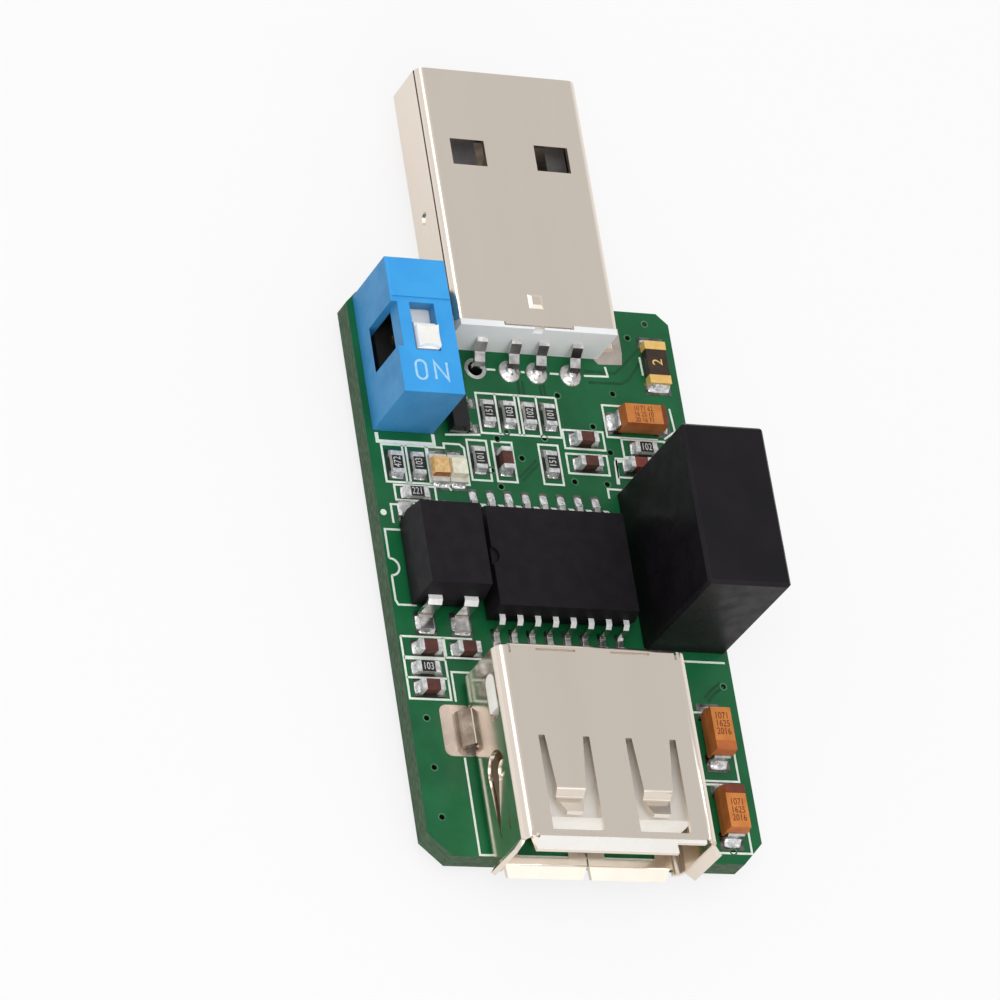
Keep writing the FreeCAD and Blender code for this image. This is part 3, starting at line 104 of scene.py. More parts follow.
switchLow, switchHigh = boardBox("switch_housing")
switchMiddle = (switchLow + switchHigh) / 2
socketLow, socketHigh = boardBox("socket_shell")
socketMiddle = (socketLow.x + socketHigh.x) / 2
plugLow, plugHigh = boardBox("plug_shell")
plugMiddle = (plugLow.x + plugHigh.x) / 2
plateLow = boardBox("plug_insulator")[0]
print("frame loaded:", len(nodes), "nodes")


# Materials

# sizes of noise are in millimetres, and most of a noise lies between its low and high
surfaceNoise = {"toneDetail": 4.0, "wearSize": 1.2, "wearDetail": 3.0, "grainDetail": 2.0,
                "low": 0.35, "high": 0.65}


def makeFinish(name, look):
    # two tones in a soft mottle, an uneven roughness and a fine grain
    material = bpy.data.materials.new(name)
    material.use_nodes = True
    tree = material.node_tree
    shader = tree.nodes["Principled BSDF"]
    shader.inputs["Metallic"].default_value = look.get("metal", 0.0)
    shader.inputs["Specular IOR Level"].default_value = look.get("gloss", 0.5)
    place = tree.nodes.new("ShaderNodeTexCoord")
    stretch = look.get("stretch")

    def noise(size, detail):
        node = tree.nodes.new("ShaderNodeTexNoise")
        node.inputs["Scale"].default_value = 1.0 / (size * mm)
        node.inputs["Detail"].default_value = detail
        if stretch:
            mapping = tree.nodes.new("ShaderNodeMapping")
            mapping.inputs["Scale"].default_value = stretch
            tree.links.new(place.outputs["Object"], mapping.inputs["Vector"])
            tree.links.new(mapping.outputs["Vector"], node.inputs["Vector"])
        else:
            tree.links.new(place.outputs["Object"], node.inputs["Vector"])
        return node.outputs["Fac"]

    def between(source, low, high):
        node = tree.nodes.new("ShaderNodeMapRange")
        node.inputs["From Min"].default_value = surfaceNoise["low"]
        node.inputs["From Max"].default_value = surfaceNoise["high"]
        node.inputs["To Min"].default_value = low
        node.inputs["To Max"].default_value = high
        tree.links.new(source, node.inputs["Value"])
        return node.outputs["Result"]

    tones = tree.nodes.new("ShaderNodeMix")  # as a colour mix its colours are inputs 6 and 7, output 2
    tones.data_type = "RGBA"
    tones.inputs[6].default_value = look["color"]
    tones.inputs[7].default_value = look["shade"]
    mottle = noise(look.get("mottle", 2.0), surfaceNoise["toneDetail"])
    tree.links.new(between(mottle, 0.0, 1.0), tones.inputs[0])
    tree.links.new(tones.outputs[2], shader.inputs["Base Color"])
    rough, swing = look["rough"], look.get("swing", 0.06)
    wear = noise(surfaceNoise["wearSize"], surfaceNoise["wearDetail"])
    tree.links.new(between(wear, rough - swing, rough + swing), shader.inputs["Roughness"])
    if look.get("bump", 0.0) > 0:
        grain = tree.nodes.new("ShaderNodeBump")
        grain.inputs["Strength"].default_value = look["bump"]
        grain.inputs["Distance"].default_value = look.get("depth", 0.01) * mm
        tree.links.new(noise(look.get("grain", 0.1), surfaceNoise["grainDetail"]), grain.inputs["Height"])
        tree.links.new(grain.outputs["Normal"], shader.inputs["Normal"])
    return material


looks = {
    "solderMask": {"color": paint(24, 109, 64), "shade": paint(16, 93, 53), "rough": 0.34, "mottle": 3.5,
        "gloss": 0.3, "grain": 0.25, "bump": 0.25, "depth": 0.01},
    "maskOverGap": {"color": paint(12, 84, 50), "shade": paint(8, 72, 42), "rough": 0.3, "mottle": 1.0,
        "gloss": 0.35, "bump": 0.1},
    "viaRing": {"color": paint(84, 146, 106), "shade": paint(50, 112, 74), "rough": 0.35, "mottle": 1.0,
        "gloss": 0.4, "bump": 0.1},
    "viaWall": {"color": paint(24, 34, 26), "shade": paint(14, 20, 16), "rough": 0.7, "mottle": 0.3},
    # painted shade for the board round the chip parts
    "paintedPartShade": {"color": paint(16, 38, 26), "shade": paint(10, 28, 18), "rough": 0.5, "mottle": 2.0,
        "swing": 0.1},
    "laminateEdge": {"color": paint(80, 104, 80), "shade": paint(52, 73, 54), "rough": 0.75, "mottle": 0.5,
        "gloss": 0.3, "grain": 0.12, "bump": 0.6, "depth": 0.03, "stretch": (1, 1, 6)},
    "boardPrint": {"color": paint(252, 255, 248), "shade": paint(230, 244, 230), "rough": 0.6, "mottle": 0.5,
        "gloss": 0.3, "bump": 0.2, "grain": 0.1},
    "nickelSteel": {"color": paint(242, 231, 218), "shade": paint(237, 225, 212), "rough": 0.17, "metal": 1.0,
        "mottle": 5.0, "swing": 0.04, "grain": 0.16, "bump": 0.12, "depth": 0.006,
        "stretch": (1, 0.12, 1)},
    # painted reflection: the legs darker than the shell's steel
    "legPaintedReflection": {"color": paint(176, 160, 144), "shade": paint(128, 112, 98), "rough": 0.24, "metal": 1.0,
        "mottle": 1.0, "bump": 0.3, "depth": 0.04},
    # painted highlight: the top lip near white
    "lipPaintedHighlight": {"color": paint(255, 252, 247), "shade": paint(250, 246, 240), "rough": 0.3, "metal": 0.1,
        "mottle": 3.0, "swing": 0.04},
    "foldShadow": {"color": paint(62, 54, 48), "shade": paint(50, 44, 40), "rough": 0.6, "mottle": 1.0},
    # painted highlight for the up-facing tops of the leads' shoulders
    "shoulderPaintedHighlight": {"color": paint(255, 255, 255), "shade": paint(240, 240, 240), "rough": 0.3, "metal": 0.1,
        "mottle": 0.5},
    "tinSolder": {"color": paint(255, 255, 255), "shade": paint(184, 184, 186), "rough": 0.17, "metal": 0.6,
        "mottle": 0.35, "swing": 0.06, "grain": 0.3, "bump": 0.8, "depth": 0.1},
    "padTin": {"color": paint(132, 134, 128), "shade": paint(78, 82, 74), "rough": 0.3, "metal": 1.0,
        "mottle": 0.5, "swing": 0.1, "grain": 0.3, "bump": 0.3, "depth": 0.03},
    "domeTin": {"color": paint(232, 228, 226), "shade": paint(190, 188, 186), "rough": 0.26, "metal": 0.8,
        "mottle": 0.5, "swing": 0.08, "grain": 0.5, "bump": 0.6, "depth": 0.08},
    "capTin": {"color": paint(248, 248, 248), "shade": paint(196, 196, 196), "rough": 0.3, "metal": 0.4,
        "mottle": 0.3, "swing": 0.1, "grain": 0.3, "bump": 0.4, "depth": 0.03},
    "legTin": {"color": paint(210, 199, 191), "shade": paint(178, 166, 158), "rough": 0.32, "metal": 0.75,
        "mottle": 2.2, "swing": 0.06, "grain": 0.8, "bump": 0.2, "depth": 0.03},
    "tinnedLead": {"color": paint(222, 220, 218), "shade": paint(176, 174, 172), "rough": 0.2, "metal": 1.0,
        "mottle": 0.6, "bump": 0.2},
    "copperAlloy": {"color": paint(224, 190, 132), "shade": paint(198, 156, 98), "rough": 0.28, "metal": 1.0,
        "mottle": 1.0, "bump": 0.15},
    "greyInsulator": {"color": paint(252, 253, 253), "shade": paint(248, 249, 251), "rough": 0.5,
        "mottle": 1.6, "gloss": 0.4, "bump": 0.12},
    # painted shade: the plug insulator's faces inside the shell
    "plugInsidePaintedShade": {"color": paint(138, 136, 138), "shade": paint(112, 110, 112), "rough": 0.5, "mottle": 1.6,
        "gloss": 0.3, "bump": 0.12},
    "socketInsulator": {"color": paint(250, 247, 242), "shade": paint(242, 239, 232), "rough": 0.5,
        "mottle": 1.6, "gloss": 0.4, "bump": 0.12},
    "switchBlue": {"color": paint(62, 172, 244), "shade": paint(54, 162, 238), "rough": 0.42, "mottle": 2.4,
        "gloss": 0.35, "grain": 0.14, "bump": 0.18},
    # painted shade: the switch's blue on its sides
    "switchBluePaintedShade": {"color": paint(58, 140, 196), "shade": paint(50, 130, 184), "rough": 0.45,
        "mottle": 2.4, "gloss": 0.35, "grain": 0.14, "bump": 0.18},
    "switchBlack": {"color": paint(30, 28, 28), "shade": paint(22, 21, 22), "rough": 0.55, "bump": 0.2},
    "sliderWhite": {"color": paint(255, 254, 251), "shade": paint(248, 247, 244), "rough": 0.38,
        "mottle": 1.0, "gloss": 0.45, "bump": 0.08},
    "letteringWhite": {"color": paint(184, 226, 250), "shade": paint(150, 212, 246), "rough": 0.6,
        "mottle": 0.3},
    "chipBlack": {"color": paint(30, 27, 31), "shade": paint(24, 21, 25), "rough": 0.55, "mottle": 0.9,
        "gloss": 0.16, "grain": 0.08, "bump": 0.45, "depth": 0.012},
    "glossBlack": {"color": paint(30, 29, 31), "shade": paint(22, 21, 23), "rough": 0.26, "mottle": 0.9,
        "gloss": 0.4, "grain": 0.1, "bump": 0.2, "depth": 0.01},
    "pottedBlack": {"color": paint(24, 19, 24), "shade": paint(17, 14, 18), "rough": 0.4, "mottle": 3.0,
        "gloss": 0.2, "grain": 0.3, "bump": 0.12, "depth": 0.01, "swing": 0.08},
    "resistorGlaze": {"color": paint(30, 30, 31), "shade": paint(20, 20, 21), "rough": 0.3, "mottle": 0.4,
        "bump": 0.15},
    "resistorSide": {"color": paint(206, 204, 198), "shade": paint(186, 184, 178), "rough": 0.55,
        "mottle": 0.4, "bump": 0.2},
    "capacitorBrown": {"color": paint(98, 50, 38), "shade": paint(78, 38, 28), "rough": 0.5, "mottle": 0.5,
        "bump": 0.25},
    "capacitorRed": {"color": paint(150, 62, 38), "shade": paint(126, 48, 30), "rough": 0.45, "mottle": 0.5,
        "bump": 0.25},
    "tantalumOrange": {"color": paint(222, 140, 62), "shade": paint(206, 122, 48), "rough": 0.42,
        "mottle": 0.9, "bump": 0.2},
    # painted shade: the tantalum's orange on its sides
    "tantalumPaintedShade": {"color": paint(188, 106, 46), "shade": paint(170, 92, 38), "rough": 0.45, "mottle": 0.9,
        "bump": 0.2},
    "tantalumBand": {"color": paint(132, 58, 30), "shade": paint(112, 46, 24), "rough": 0.5, "mottle": 0.4},
    "tantalumFaint": {"color": paint(204, 112, 50), "shade": paint(190, 98, 42), "rough": 0.45,
        "mottle": 0.5},
    "printOnPart": {"color": paint(232, 232, 226), "shade": paint(206, 206, 200), "rough": 0.6,
        "mottle": 0.2},
    "printBrown": {"color": paint(128, 42, 18), "shade": paint(108, 34, 14), "rough": 0.6, "mottle": 0.2},
    "fuseGold": {"color": paint(255, 214, 132), "shade": paint(246, 198, 110), "rough": 0.34, "metal": 0.2,
        "mottle": 0.5, "bump": 0.25},
    "fuseBody": {"color": paint(62, 44, 26), "shade": paint(44, 30, 18), "rough": 0.4, "mottle": 0.5,
        "bump": 0.2},
    "lampBase": {"color": paint(232, 230, 218), "shade": paint(214, 210, 196), "rough": 0.5, "mottle": 0.4},
    "amberLens": {"color": paint(252, 214, 150), "shade": paint(228, 176, 106), "rough": 0.18, "mottle": 0.3,
        "gloss": 0.6},
    "amberFringe": {"color": paint(190, 124, 76), "shade": paint(160, 92, 52), "rough": 0.3, "mottle": 0.3},
    "milkyLens": {"color": paint(255, 251, 232), "shade": paint(236, 228, 196), "rough": 0.22,
        "mottle": 0.35, "gloss": 0.6},
}
finishes = {name: makeFinish(name, look) for name, look in looks.items()}
print("materials made:", len(finishes))


# Small tools for meshes

def soften(piece, width, segments=2):
    edge = piece.modifiers.new("softEdge", "BEVEL")
    edge.width = width * mm
    edge.segments = segments
    edge.limit_method = "ANGLE"
    edge.angle_limit = math.radians(40)
    edge.harden_normals = True
    edge.use_clamp_overlap = True


def makePiece(name, bm, finishNames, smoothAngle=35):
    # closes a bmesh into an object that rides on the board
    bmesh.ops.remove_doubles(bm, verts=bm.verts, dist=1e-7)
    bmesh.ops.recalc_face_normals(bm, faces=bm.faces)
    mesh = bpy.data.meshes.new(name)
    bm.to_mesh(mesh)
    bm.free()
    for finishName in finishNames:
        mesh.materials.append(finishes[finishName])
    mesh.shade_smooth()
    mesh.set_sharp_from_angle(angle=math.radians(smoothAngle))
    piece = bpy.data.objects.new(name, mesh)
    bpy.context.scene.collection.objects.link(piece)
    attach(piece, "board")
    return piece


def dressNode(name, finishNames, choose=None, bevel=0.0, segments=2):
    # a CAD node keeps its shape and gets its finishes, one per face where choose(place, normal) says so
    piece = nodes[name]
    piece.data.materials.clear()
    for finishName in finishNames:
        piece.data.materials.append(finishes[finishName])
    if choose:
        for face in piece.data.polygons:
            face.material_index = choose(toBoard(face.center), face.normal)
    weld = piece.modifiers.new("joinEdges", "WELD")
    weld.merge_threshold = 1e-6
    if bevel:
        soften(piece, bevel, segments)


def circle(x, y, radius, sides):
    turns = [2 * math.pi * index / sides for index in range(sides)]
    return [(x + radius * math.cos(turn), y + radius * math.sin(turn)) for turn in turns]


def boxOutline(left, front, right, rear):
    return [(left, front), (right, front), (right, rear), (left, rear)]


def roundedOutline(x, y, width, length, radius, steps=4):
    points = []
    for cornerX, cornerY, start in ((1, 1, 0), (-1, 1, 90), (-1, -1, 180), (1, -1, 270)):
        middleX = x + cornerX * (width / 2 - radius)
        middleY = y + cornerY * (length / 2 - radius)
        for step in range(steps + 1):
            angle = math.radians(start + 90 * step / steps)
            points.append((middleX + radius * math.cos(angle), middleY + radius * math.sin(angle)))
    return points


def addPrism(bm, outline, low, high, material=0):
    # an upright prism from an outline of board places
    bottom = [bm.verts.new(onBoard(x, y, low)) for x, y in outline]
    top = [bm.verts.new(onBoard(x, y, high)) for x, y in outline]
    faces = [bm.faces.new(bottom[::-1]), bm.faces.new(top)]
    for index in range(len(outline)):
        after = (index + 1) % len(outline)
        faces.append(bm.faces.new([bottom[index], bottom[after], top[after], top[index]]))
    for face in faces:
        face.material_index = material


def addRing(bm, x, y, inner, outer, low, high, sides):
    # a flat washer round a hole
    rings = []
    for radius, level in ((inner, low), (outer, low), (outer, high), (inner, high)):
        rings.append([bm.verts.new(onBoard(px, py, level)) for px, py in circle(x, y, radius, sides)])
    for ring, after in zip(rings, rings[1:] + rings[:1]):
        for index in range(sides):
            following = (index + 1) % sides
            bm.faces.new([ring[index], ring[following], after[following], after[index]])


def addRevolve(bm, x, y, profile, sides, stretchY=1.0):
    # a closed turned form from (radius, height) points, from its foot to its top
    rings = []
    for radius, level in profile:
        rings.append([bm.verts.new(onBoard(px, y + (py - y) * stretchY, level))
                      for px, py in circle(x, y, radius, sides)])
    for ring, after in zip(rings, rings[1:]):
        for index in range(sides):
            following = (index + 1) % sides
            bm.faces.new([ring[index], ring[following], after[following], after[index]])
    bm.faces.new(rings[0][::-1])
    bm.faces.new(rings[-1])


def addRibbon(bm, points, width, low, high, closed=False):
    # a flat line of even width with mitred corners
    count = len(points)
    path = [Vector((x, y, 0)) for x, y in points]
    sides = ([], [])
    for index, point in enumerate(path):
        before = path[index - 1] if index or closed else None
        after = path[(index + 1) % count] if index < count - 1 or closed else None
        headings = []
        if before is not None:
            headings.append((point - before).normalized())
        if after is not None:
            headings.append((after - point).normalized())
        normals = [Vector((-h.y, h.x, 0)) for h in headings]
        mitre = sum(normals, Vector()).normalized()
        reach = width / 2 / max(0.35, mitre.dot(normals[0]))  # the limit keeps a sharp corner short
        for side, direction in zip(sides, (1, -1)):
            side.append(point + mitre * (reach * direction))
    levels = []
    for level in (low, high):
        levels.append([[bm.verts.new(onBoard(p.x, p.y, level)) for p in side] for side in sides])
    (bottomLeft, bottomRight), (topLeft, topRight) = levels
    for index in range(count if closed else count - 1):
        after = (index + 1) % count
        bm.faces.new([topLeft[index], topRight[index], topRight[after], topLeft[after]])
        bm.faces.new([bottomLeft[index], bottomLeft[after], bottomRight[after], bottomRight[index]])
        bm.faces.new([bottomLeft[index], topLeft[index], topLeft[after], bottomLeft[after]])
        bm.faces.new([bottomRight[index], bottomRight[after], topRight[after], topRight[index]])
    if not closed:
        for index in (0, count - 1):
            bm.faces.new([bottomLeft[index], bottomRight[index], topRight[index], topLeft[index]])


# a slope of solder widens a little as it runs out, is hollow along its length and lower at its sides
wetSlope = {"steps": 6, "spread": 0.12, "taper": 0.18, "bow": 0.10, "sag": 0.22, "fall": 1.9, "foot": 0.02}


def addSlope(bm, x, y, dx, dy, width, reach, rise):
    # x and y are the middle of the part's end, and dx, dy point away from it
    steps, foot = wetSlope["steps"], wetSlope["foot"]
    rows = []
    for i in range(steps + 1):
        u = i / steps
        half = width / 2 * (1 + wetSlope["spread"] * u) * (1 - wetSlope["taper"] * u * u)
        row = []
        for j in range(steps + 1):
            v = 2 * j / steps - 1
            out = reach * u * (1 - wetSlope["bow"] * v * v)
            height = foot + (rise - foot) * (1 - u) ** wetSlope["fall"] * (1 - wetSlope["sag"] * v * v)
            row.append((x + dx * out - dy * v * half, y + dy * out + dx * v * half, height))
        rows.append(row)
    top = [[bm.verts.new(onBoard(*place)) for place in row] for row in rows]
    under = [[bm.verts.new(onBoard(px, py)) for px, py, height in row] for row in rows]
    for i in range(steps):
        for j in range(steps):
            bm.faces.new([top[i][j], top[i + 1][j], top[i + 1][j + 1], top[i][j + 1]])
            bm.faces.new([under[i][j], under[i][j + 1], under[i + 1][j + 1], under[i + 1][j]])
    for i in range(steps):
        for j in (0, steps):
            bm.faces.new([under[i][j], under[i + 1][j], top[i + 1][j], top[i][j]])
    for j in range(steps):
        for i in (0, steps):
            bm.faces.new([under[i][j], top[i][j], top[i][j + 1], under[i][j + 1]])


def writeOn(name, entries, finishName):
    # flat lettering on top of parts: (text, x, y, z, height, turn in degrees, stretch)
    letter = {"thickness": 0.02, "capHeight": 0.7, "curveSteps": 3}
    bm = bmesh.new()
    for text, x, y, z, height, turn, stretch in entries:
        curve = bpy.data.curves.new("letters", "FONT")
        curve.body = text
        curve.size = height * mm / letter["capHeight"]
        curve.align_x = "CENTER"
        curve.align_y = "CENTER"
        curve.extrude = letter["thickness"] / 2 * mm
        curve.resolution_u = letter["curveSteps"]
        letters = bpy.data.objects.new("letters", curve)
        bpy.context.scene.collection.objects.link(letters)
        bpy.context.view_layer.update()
        mesh = bpy.data.meshes.new_from_object(letters.evaluated_get(bpy.context.evaluated_depsgraph_get()))
        mesh.transform(Matrix.Translation(onBoard(x, y, z)) @ Matrix.Rotation(math.radians(turn), 4, "Z")
                       @ Matrix.Diagonal((stretch, 1, 1, 1)))
        bm.from_mesh(mesh)
        bpy.data.objects.remove(letters)
        bpy.data.meshes.remove(mesh)
        bpy.data.curves.remove(curve)
    return makePiece(name, bm, [finishName])


# The board: green mask on both faces, bare laminate at the cut edges and dark walls in the holes

# how far in from each edge the outline's walls lie, also at the rear slot and the cut corners
boardRim = {"side": 1.7, "front": 1.6, "rear": 4.2, "slot": 3.6, "frontCut": 1.6, "rearCut": 0.9,
            "near": 0.02}


def outerWall(place, normal):
    # the walls of the outline, and not those of the drilled holes
    near = boardRim["near"]
    onSide = abs(place.x - leftEdge) < near or abs(place.x - rightEdge) < near
    onEnd = place.y < near or place.y > boardLength - near
    atCut = place.y < boardRim["frontCut"] or place.y > boardLength - boardRim["rearCut"]
    slanted = abs(abs(normal.x) - abs(normal.y)) < near
    square = abs(normal.z) < 0.01 and max(abs(normal.x), abs(normal.y)) > 0.999
    atSlot = place.y > boardLength - boardRim["slot"]
    return onSide or onEnd or slanted and atCut or square and atSlot


def boardSlot(place, normal):
    if abs(normal.z) > 0.5:
        return 0
    nearSide = min(abs(place.x - leftEdge), abs(place.x - rightEdge)) < boardRim["side"]
    nearEnd = place.y < boardRim["front"] or place.y > boardLength - boardRim["rear"]
    return 1 if (nearSide or nearEnd) and outerWall(place, normal) else 2


dressNode("circuit_board", ["solderMask", "laminateEdge", "viaWall"], boardSlot)
print("board dressed")

# Printed lines on the board's top, round its parts

boardPrint = {
    "line": 0.14,
    "thick": 0.24,
    "height": 0.03,
    "notch": {"x": -11.6, "y": 20.28, "radius": 0.62, "step": 15},
    "dot": {"x": -11.5, "y": 24.23, "radius": 0.22, "sides": 14},
    "boxes": [
        (-3.5, 30.56, 2.35, 33.55), (-4.71, 27.0, -3.3, 29.97), (-2.87, 27.0, -1.45, 29.95),
        (0.5, 27.0, 1.92, 29.95), (-10.45, 25.2, -7.55, 26.3), (2.48, 29.8, 5.44, 31.18),
        (2.45, 27.93, 5.44, 29.4), (8.0, 5.85, 11.0, 10.75), (8.0, 0.75, 11.0, 5.6),
        (6.76, 29.4, 9.95, 30.75), (6.08, 27.85, 9.2, 29.25),
    ],
    "lines": [
        # between the four resistors, and round the lamps and their resistors
        [(-2.12, 30.56), (-2.12, 33.55)], [(-0.7, 30.56), (-0.7, 33.55)], [(-0.4, 30.56), (-0.4, 33.55)],
        [(0.88, 30.56), (0.88, 33.55)],
        [(-6.4, 26.5), (-10.93, 26.5), (-10.93, 29.25), (-6.42, 29.25), (-6.42, 29.58), (-5.27, 29.58),
         (-4.99, 29.33), (-4.99, 26.6), (-6.4, 26.6), (-6.4, 27.09)],
        [(-9.46, 26.5), (-9.46, 29.25)], [(-9.2, 26.5), (-9.2, 29.25)],
        [(-7.6, 26.38), (-6.54, 26.36), (-6.37, 26.1)],
        # the parts at the left edge, in front of and behind the coupler
        [(-10.9, 23.49), (-10.9, 24.85), (-10.02, 24.85)],
        [(-11.65, 15.32), (-11.65, 10.9), (-8.75, 10.9), (-8.75, 13.7)], [(-11.65, 12.4), (-8.75, 12.4)],
        [(-11.65, 15.32), (-6.6, 15.32)], [(-8.7, 13.92), (-5.9, 13.9)],
        # the socket, the coupler and the converter
        [(-8.45, 6.86), (-8.45, 0.11), (6.2, 0.11), (6.2, 6.86)],
        [(-8.45, 10.8), (-8.45, 12.9), (6.2, 12.9), (6.2, 10.8)],
        [(-10.15, 17.57), (-11.45, 17.57), (-11.6, 17.9), (-11.6, 19.65)],
        [(-11.6, 20.9), (-11.6, 23.0), (-9.7, 23.0)],
        [(5.3, 14.43), (11.5, 14.43)], [(5.1, 26.2), (5.1, 26.9), (6.5, 26.9)],
        # the transistor, the plug, the fuse and the tantalum capacitor beside it
        [(-6.2, 30.25), (-3.62, 30.4)], [(-6.3, 33.3), (-4.3, 33.3)],
        [(-2.38, 35.39), (-1.74, 35.39)], [(0.13, 35.36), (0.4, 35.36)], [(2.26, 35.39), (2.91, 35.4)],
        [(4.79, 35.4), (6.57, 35.46), (6.48, 36.19)],
        [(9.21, 37.13), (9.25, 35.73)],
        [(7.17, 33.25), (5.75, 33.25), (5.75, 30.85), (9.5, 30.85)],
        [(10.78, 33.3), (10.9, 31.57), (10.0, 30.95)],
    ],
    "thickLines": [
        [(-11.15, 30.1), (-11.15, 29.46), (-7.1, 29.46), (-7.1, 30.2)],
        [(-7.72, 26.5), (-7.72, 29.25)], [(-11.65, 13.8), (-8.75, 13.8)], [(-8.68, 13.95), (-8.68, 15.3)],
        [(6.05, 29.06), (7.45, 29.12)], [(6.05, 29.06), (5.97, 27.3)],
    ],
}
bm = bmesh.new()
for box in boardPrint["boxes"]:
    addRibbon(bm, boxOutline(*box), boardPrint["line"], 0.0, boardPrint["height"], closed=True)
for kind, width in (("lines", "line"), ("thickLines", "thick")):
    for line in boardPrint[kind]:
        addRibbon(bm, line, boardPrint[width], 0.0, boardPrint["height"])
notch, dot = boardPrint["notch"], boardPrint["dot"]
turns = [math.radians(angle) for angle in range(0, 181, notch["step"])]
addRibbon(bm, [(notch["x"] + notch["radius"] * math.sin(turn), notch["y"] + notch["radius"] * math.cos(turn))
               for turn in turns], boardPrint["line"], 0.0, boardPrint["height"])
addPrism(bm, circle(dot["x"], dot["y"], dot["radius"], dot["sides"]), 0.0, boardPrint["height"])
makePiece("board_print", bm, ["boardPrint"], smoothAngle=20)

# the gaps in the copper show as fine dark lines in pairs, one along each side of a trace
copperGaps = {
    "width": 0.19,
    "height": 0.012,
    "lines": [
        [(4.91, 35.78), (7.17, 35.76), (7.99, 36.52), (9.34, 37.85), (9.57, 38.65)],
        [(5.06, 34.93), (7.56, 35.0), (8.14, 35.39), (8.8, 36.23), (9.24, 36.78)],
        [(-0.22, 34.66), (-0.22, 33.64)], [(0.12, 34.66), (0.12, 33.64)],
        [(1.38, 34.5), (1.38, 33.64)], [(1.66, 34.5), (1.66, 33.64)],
        [(0.38, 28.55), (-1.03, 27.17)], [(0.18, 28.77), (-1.23, 27.39)],
        [(9.8, 11.6), (10.4, 12.2), (11.1, 12.7)], [(9.6, 11.85), (10.2, 12.45), (10.9, 12.98)],
        [(7.1, 0.9), (7.1, 9.0)], [(7.45, 0.9), (7.45, 9.0)],
        [(5.62, 31.5), (5.62, 31.3)], [(-4.9, 34.5), (-4.0, 34.6)], [(-4.9, 34.85), (-4.1, 34.9)],
    ],
}
bm = bmesh.new()
for line in copperGaps["lines"]:
    addRibbon(bm, line, copperGaps["width"], 0.0, copperGaps["height"])
makePiece("board_traces", bm, ["maskOverGap"], smoothAngle=20)

# a ring of copper round each via; the two filled ones have a dark disc for a hole
vias = {
    "hole": 0.19,
    "rim": 0.28,
    "height": 0.03,
    "sides": 20,
    "filledHole": 0.18,
    "filledHeight": 0.015,
    "open": [
        (leftEdge + 1.15, 2.65), (leftEdge + 1.15, 6.1), (leftEdge + 1.15, 9.55),
        (rightEdge - 0.76, 12.7), (rightEdge - 2.2, 0.883), (leftEdge + 5.82, 26.37),
        (-2.72, 26.6), (-3.21, 27.8), (-0.85, 28.83), (1.05, 30.45), (-2.44, 30.2), (2.55, 33.75),
        (6.7, 34.15), (4.8, 31.55), (5.77, 29.67), (5.13, 27.25), (2.75, 27.3), (rightEdge - 3.29, 38.55),
    ],
    "filled": [(10.04, 39.72), (-1.68, 30.73)],
}
bm = bmesh.new()
for x, y in vias["open"]:
    for low in (0.0, -boardThickness - vias["height"]):
        addRing(bm, x, y, vias["hole"], vias["rim"], low, low + vias["height"], vias["sides"])
for x, y in vias["filled"]:
    addRing(bm, x, y, vias["filledHole"], vias["rim"], 0.0, vias["height"], vias["sides"])
    addPrism(bm, circle(x, y, vias["filledHole"], vias["sides"]), 0.0, vias["filledHeight"], 1)
makePiece("via_rings", bm, ["viaRing", "viaWall"])
print("print, traces and vias made")

# round and between the ends of each chip part a dark sheet paints the shade that falls there
chipParts = ["resistor_%d" % n for n in range(1, 12)] + ["capacitor_%d" % n for n in range(1, 8)]
partShadePlan = {"margin": 0.25, "height": 0.012, "corner": 0.06}
bm = bmesh.new()
for node in chipParts:
    low, high = boardBox(node)
    middle, size = (low + high) / 2, high - low
    grown = 2 * partShadePlan["margin"]
    addPrism(bm, roundedOutline(middle.x, middle.y, size.x + grown, size.y + grown, partShadePlan["corner"]),
             0.0, partShadePlan["height"])
makePiece("painted_part_shade", bm, ["paintedPartShade"])

# Solder at the surface parts: a slope at each end, on a pad. Each row gives the slope's width, reach and rise
# and its lap over the part, then how far out the pad's middle lies, the pad's sizes and its corner

solder = {
    "padHeight": 0.025,
    "chip": {"reach": 0.3, "rise": 0.42, "lap": 0.02, "padOut": 0.0, "padLength": 0.6, "corner": 0.08},
    "fuse": {"reach": 0.45, "rise": 0.5, "lap": 0.02, "padOut": 0.15, "padLength": 0.9, "corner": 0.08},
    "lamp": {"width": 0.95, "reach": 0.4, "rise": 0.3, "lap": 0.02, "padOut": 0.12, "padLength": 0.75,
             "padWidth": 1.16, "corner": 0.08},
    "strap": {"width": 1.15, "reach": 0.5, "rise": 0.42, "lap": -0.19, "padOut": 0.24, "padLength": 1.25,
              "padWidth": 1.7, "corner": 0.1},
    "isolatorFront": {"width": 0.5, "reach": 0.45, "rise": 0.26, "lap": 0.03, "padOut": -0.275,
                      "padLength": 1.55, "padWidth": 0.6, "corner": 0.1},
    "isolatorRear": {"width": 0.5, "reach": 0.85, "rise": 0.26, "lap": 0.03, "padOut": -0.075,
                     "padLength": 1.95, "padWidth": 0.6, "corner": 0.1},
    "coupler": {"width": 1.1, "reach": 0.3, "rise": 0.3, "lap": 0.03, "padOut": -0.5, "padLength": 1.7,
                "padWidth": 1.5, "corner": 0.12},
    "transistor": {"width": 0.55, "reach": 0.3, "rise": 0.22, "lap": 0.02, "padOut": -0.05, "padLength": 0.9,
                   "padWidth": 0.75, "corner": 0.08},
}
# at a chip part they go by its end's width and its height, and the pad grows by padGrow at each side
chipSolder = {"widthShare": 0.98, "riseShare": 0.8, "padGrow": 0.16}
couplerFlank = {"out": 0.48, "width": 0.9, "reach": 0.24, "rise": 0.26}
feetSpacing = {"isolator": 1.27, "coupler": 1.27, "transistor": 0.95}
isolatorRow = 8
pads = bmesh.new()
slopes = bmesh.new()


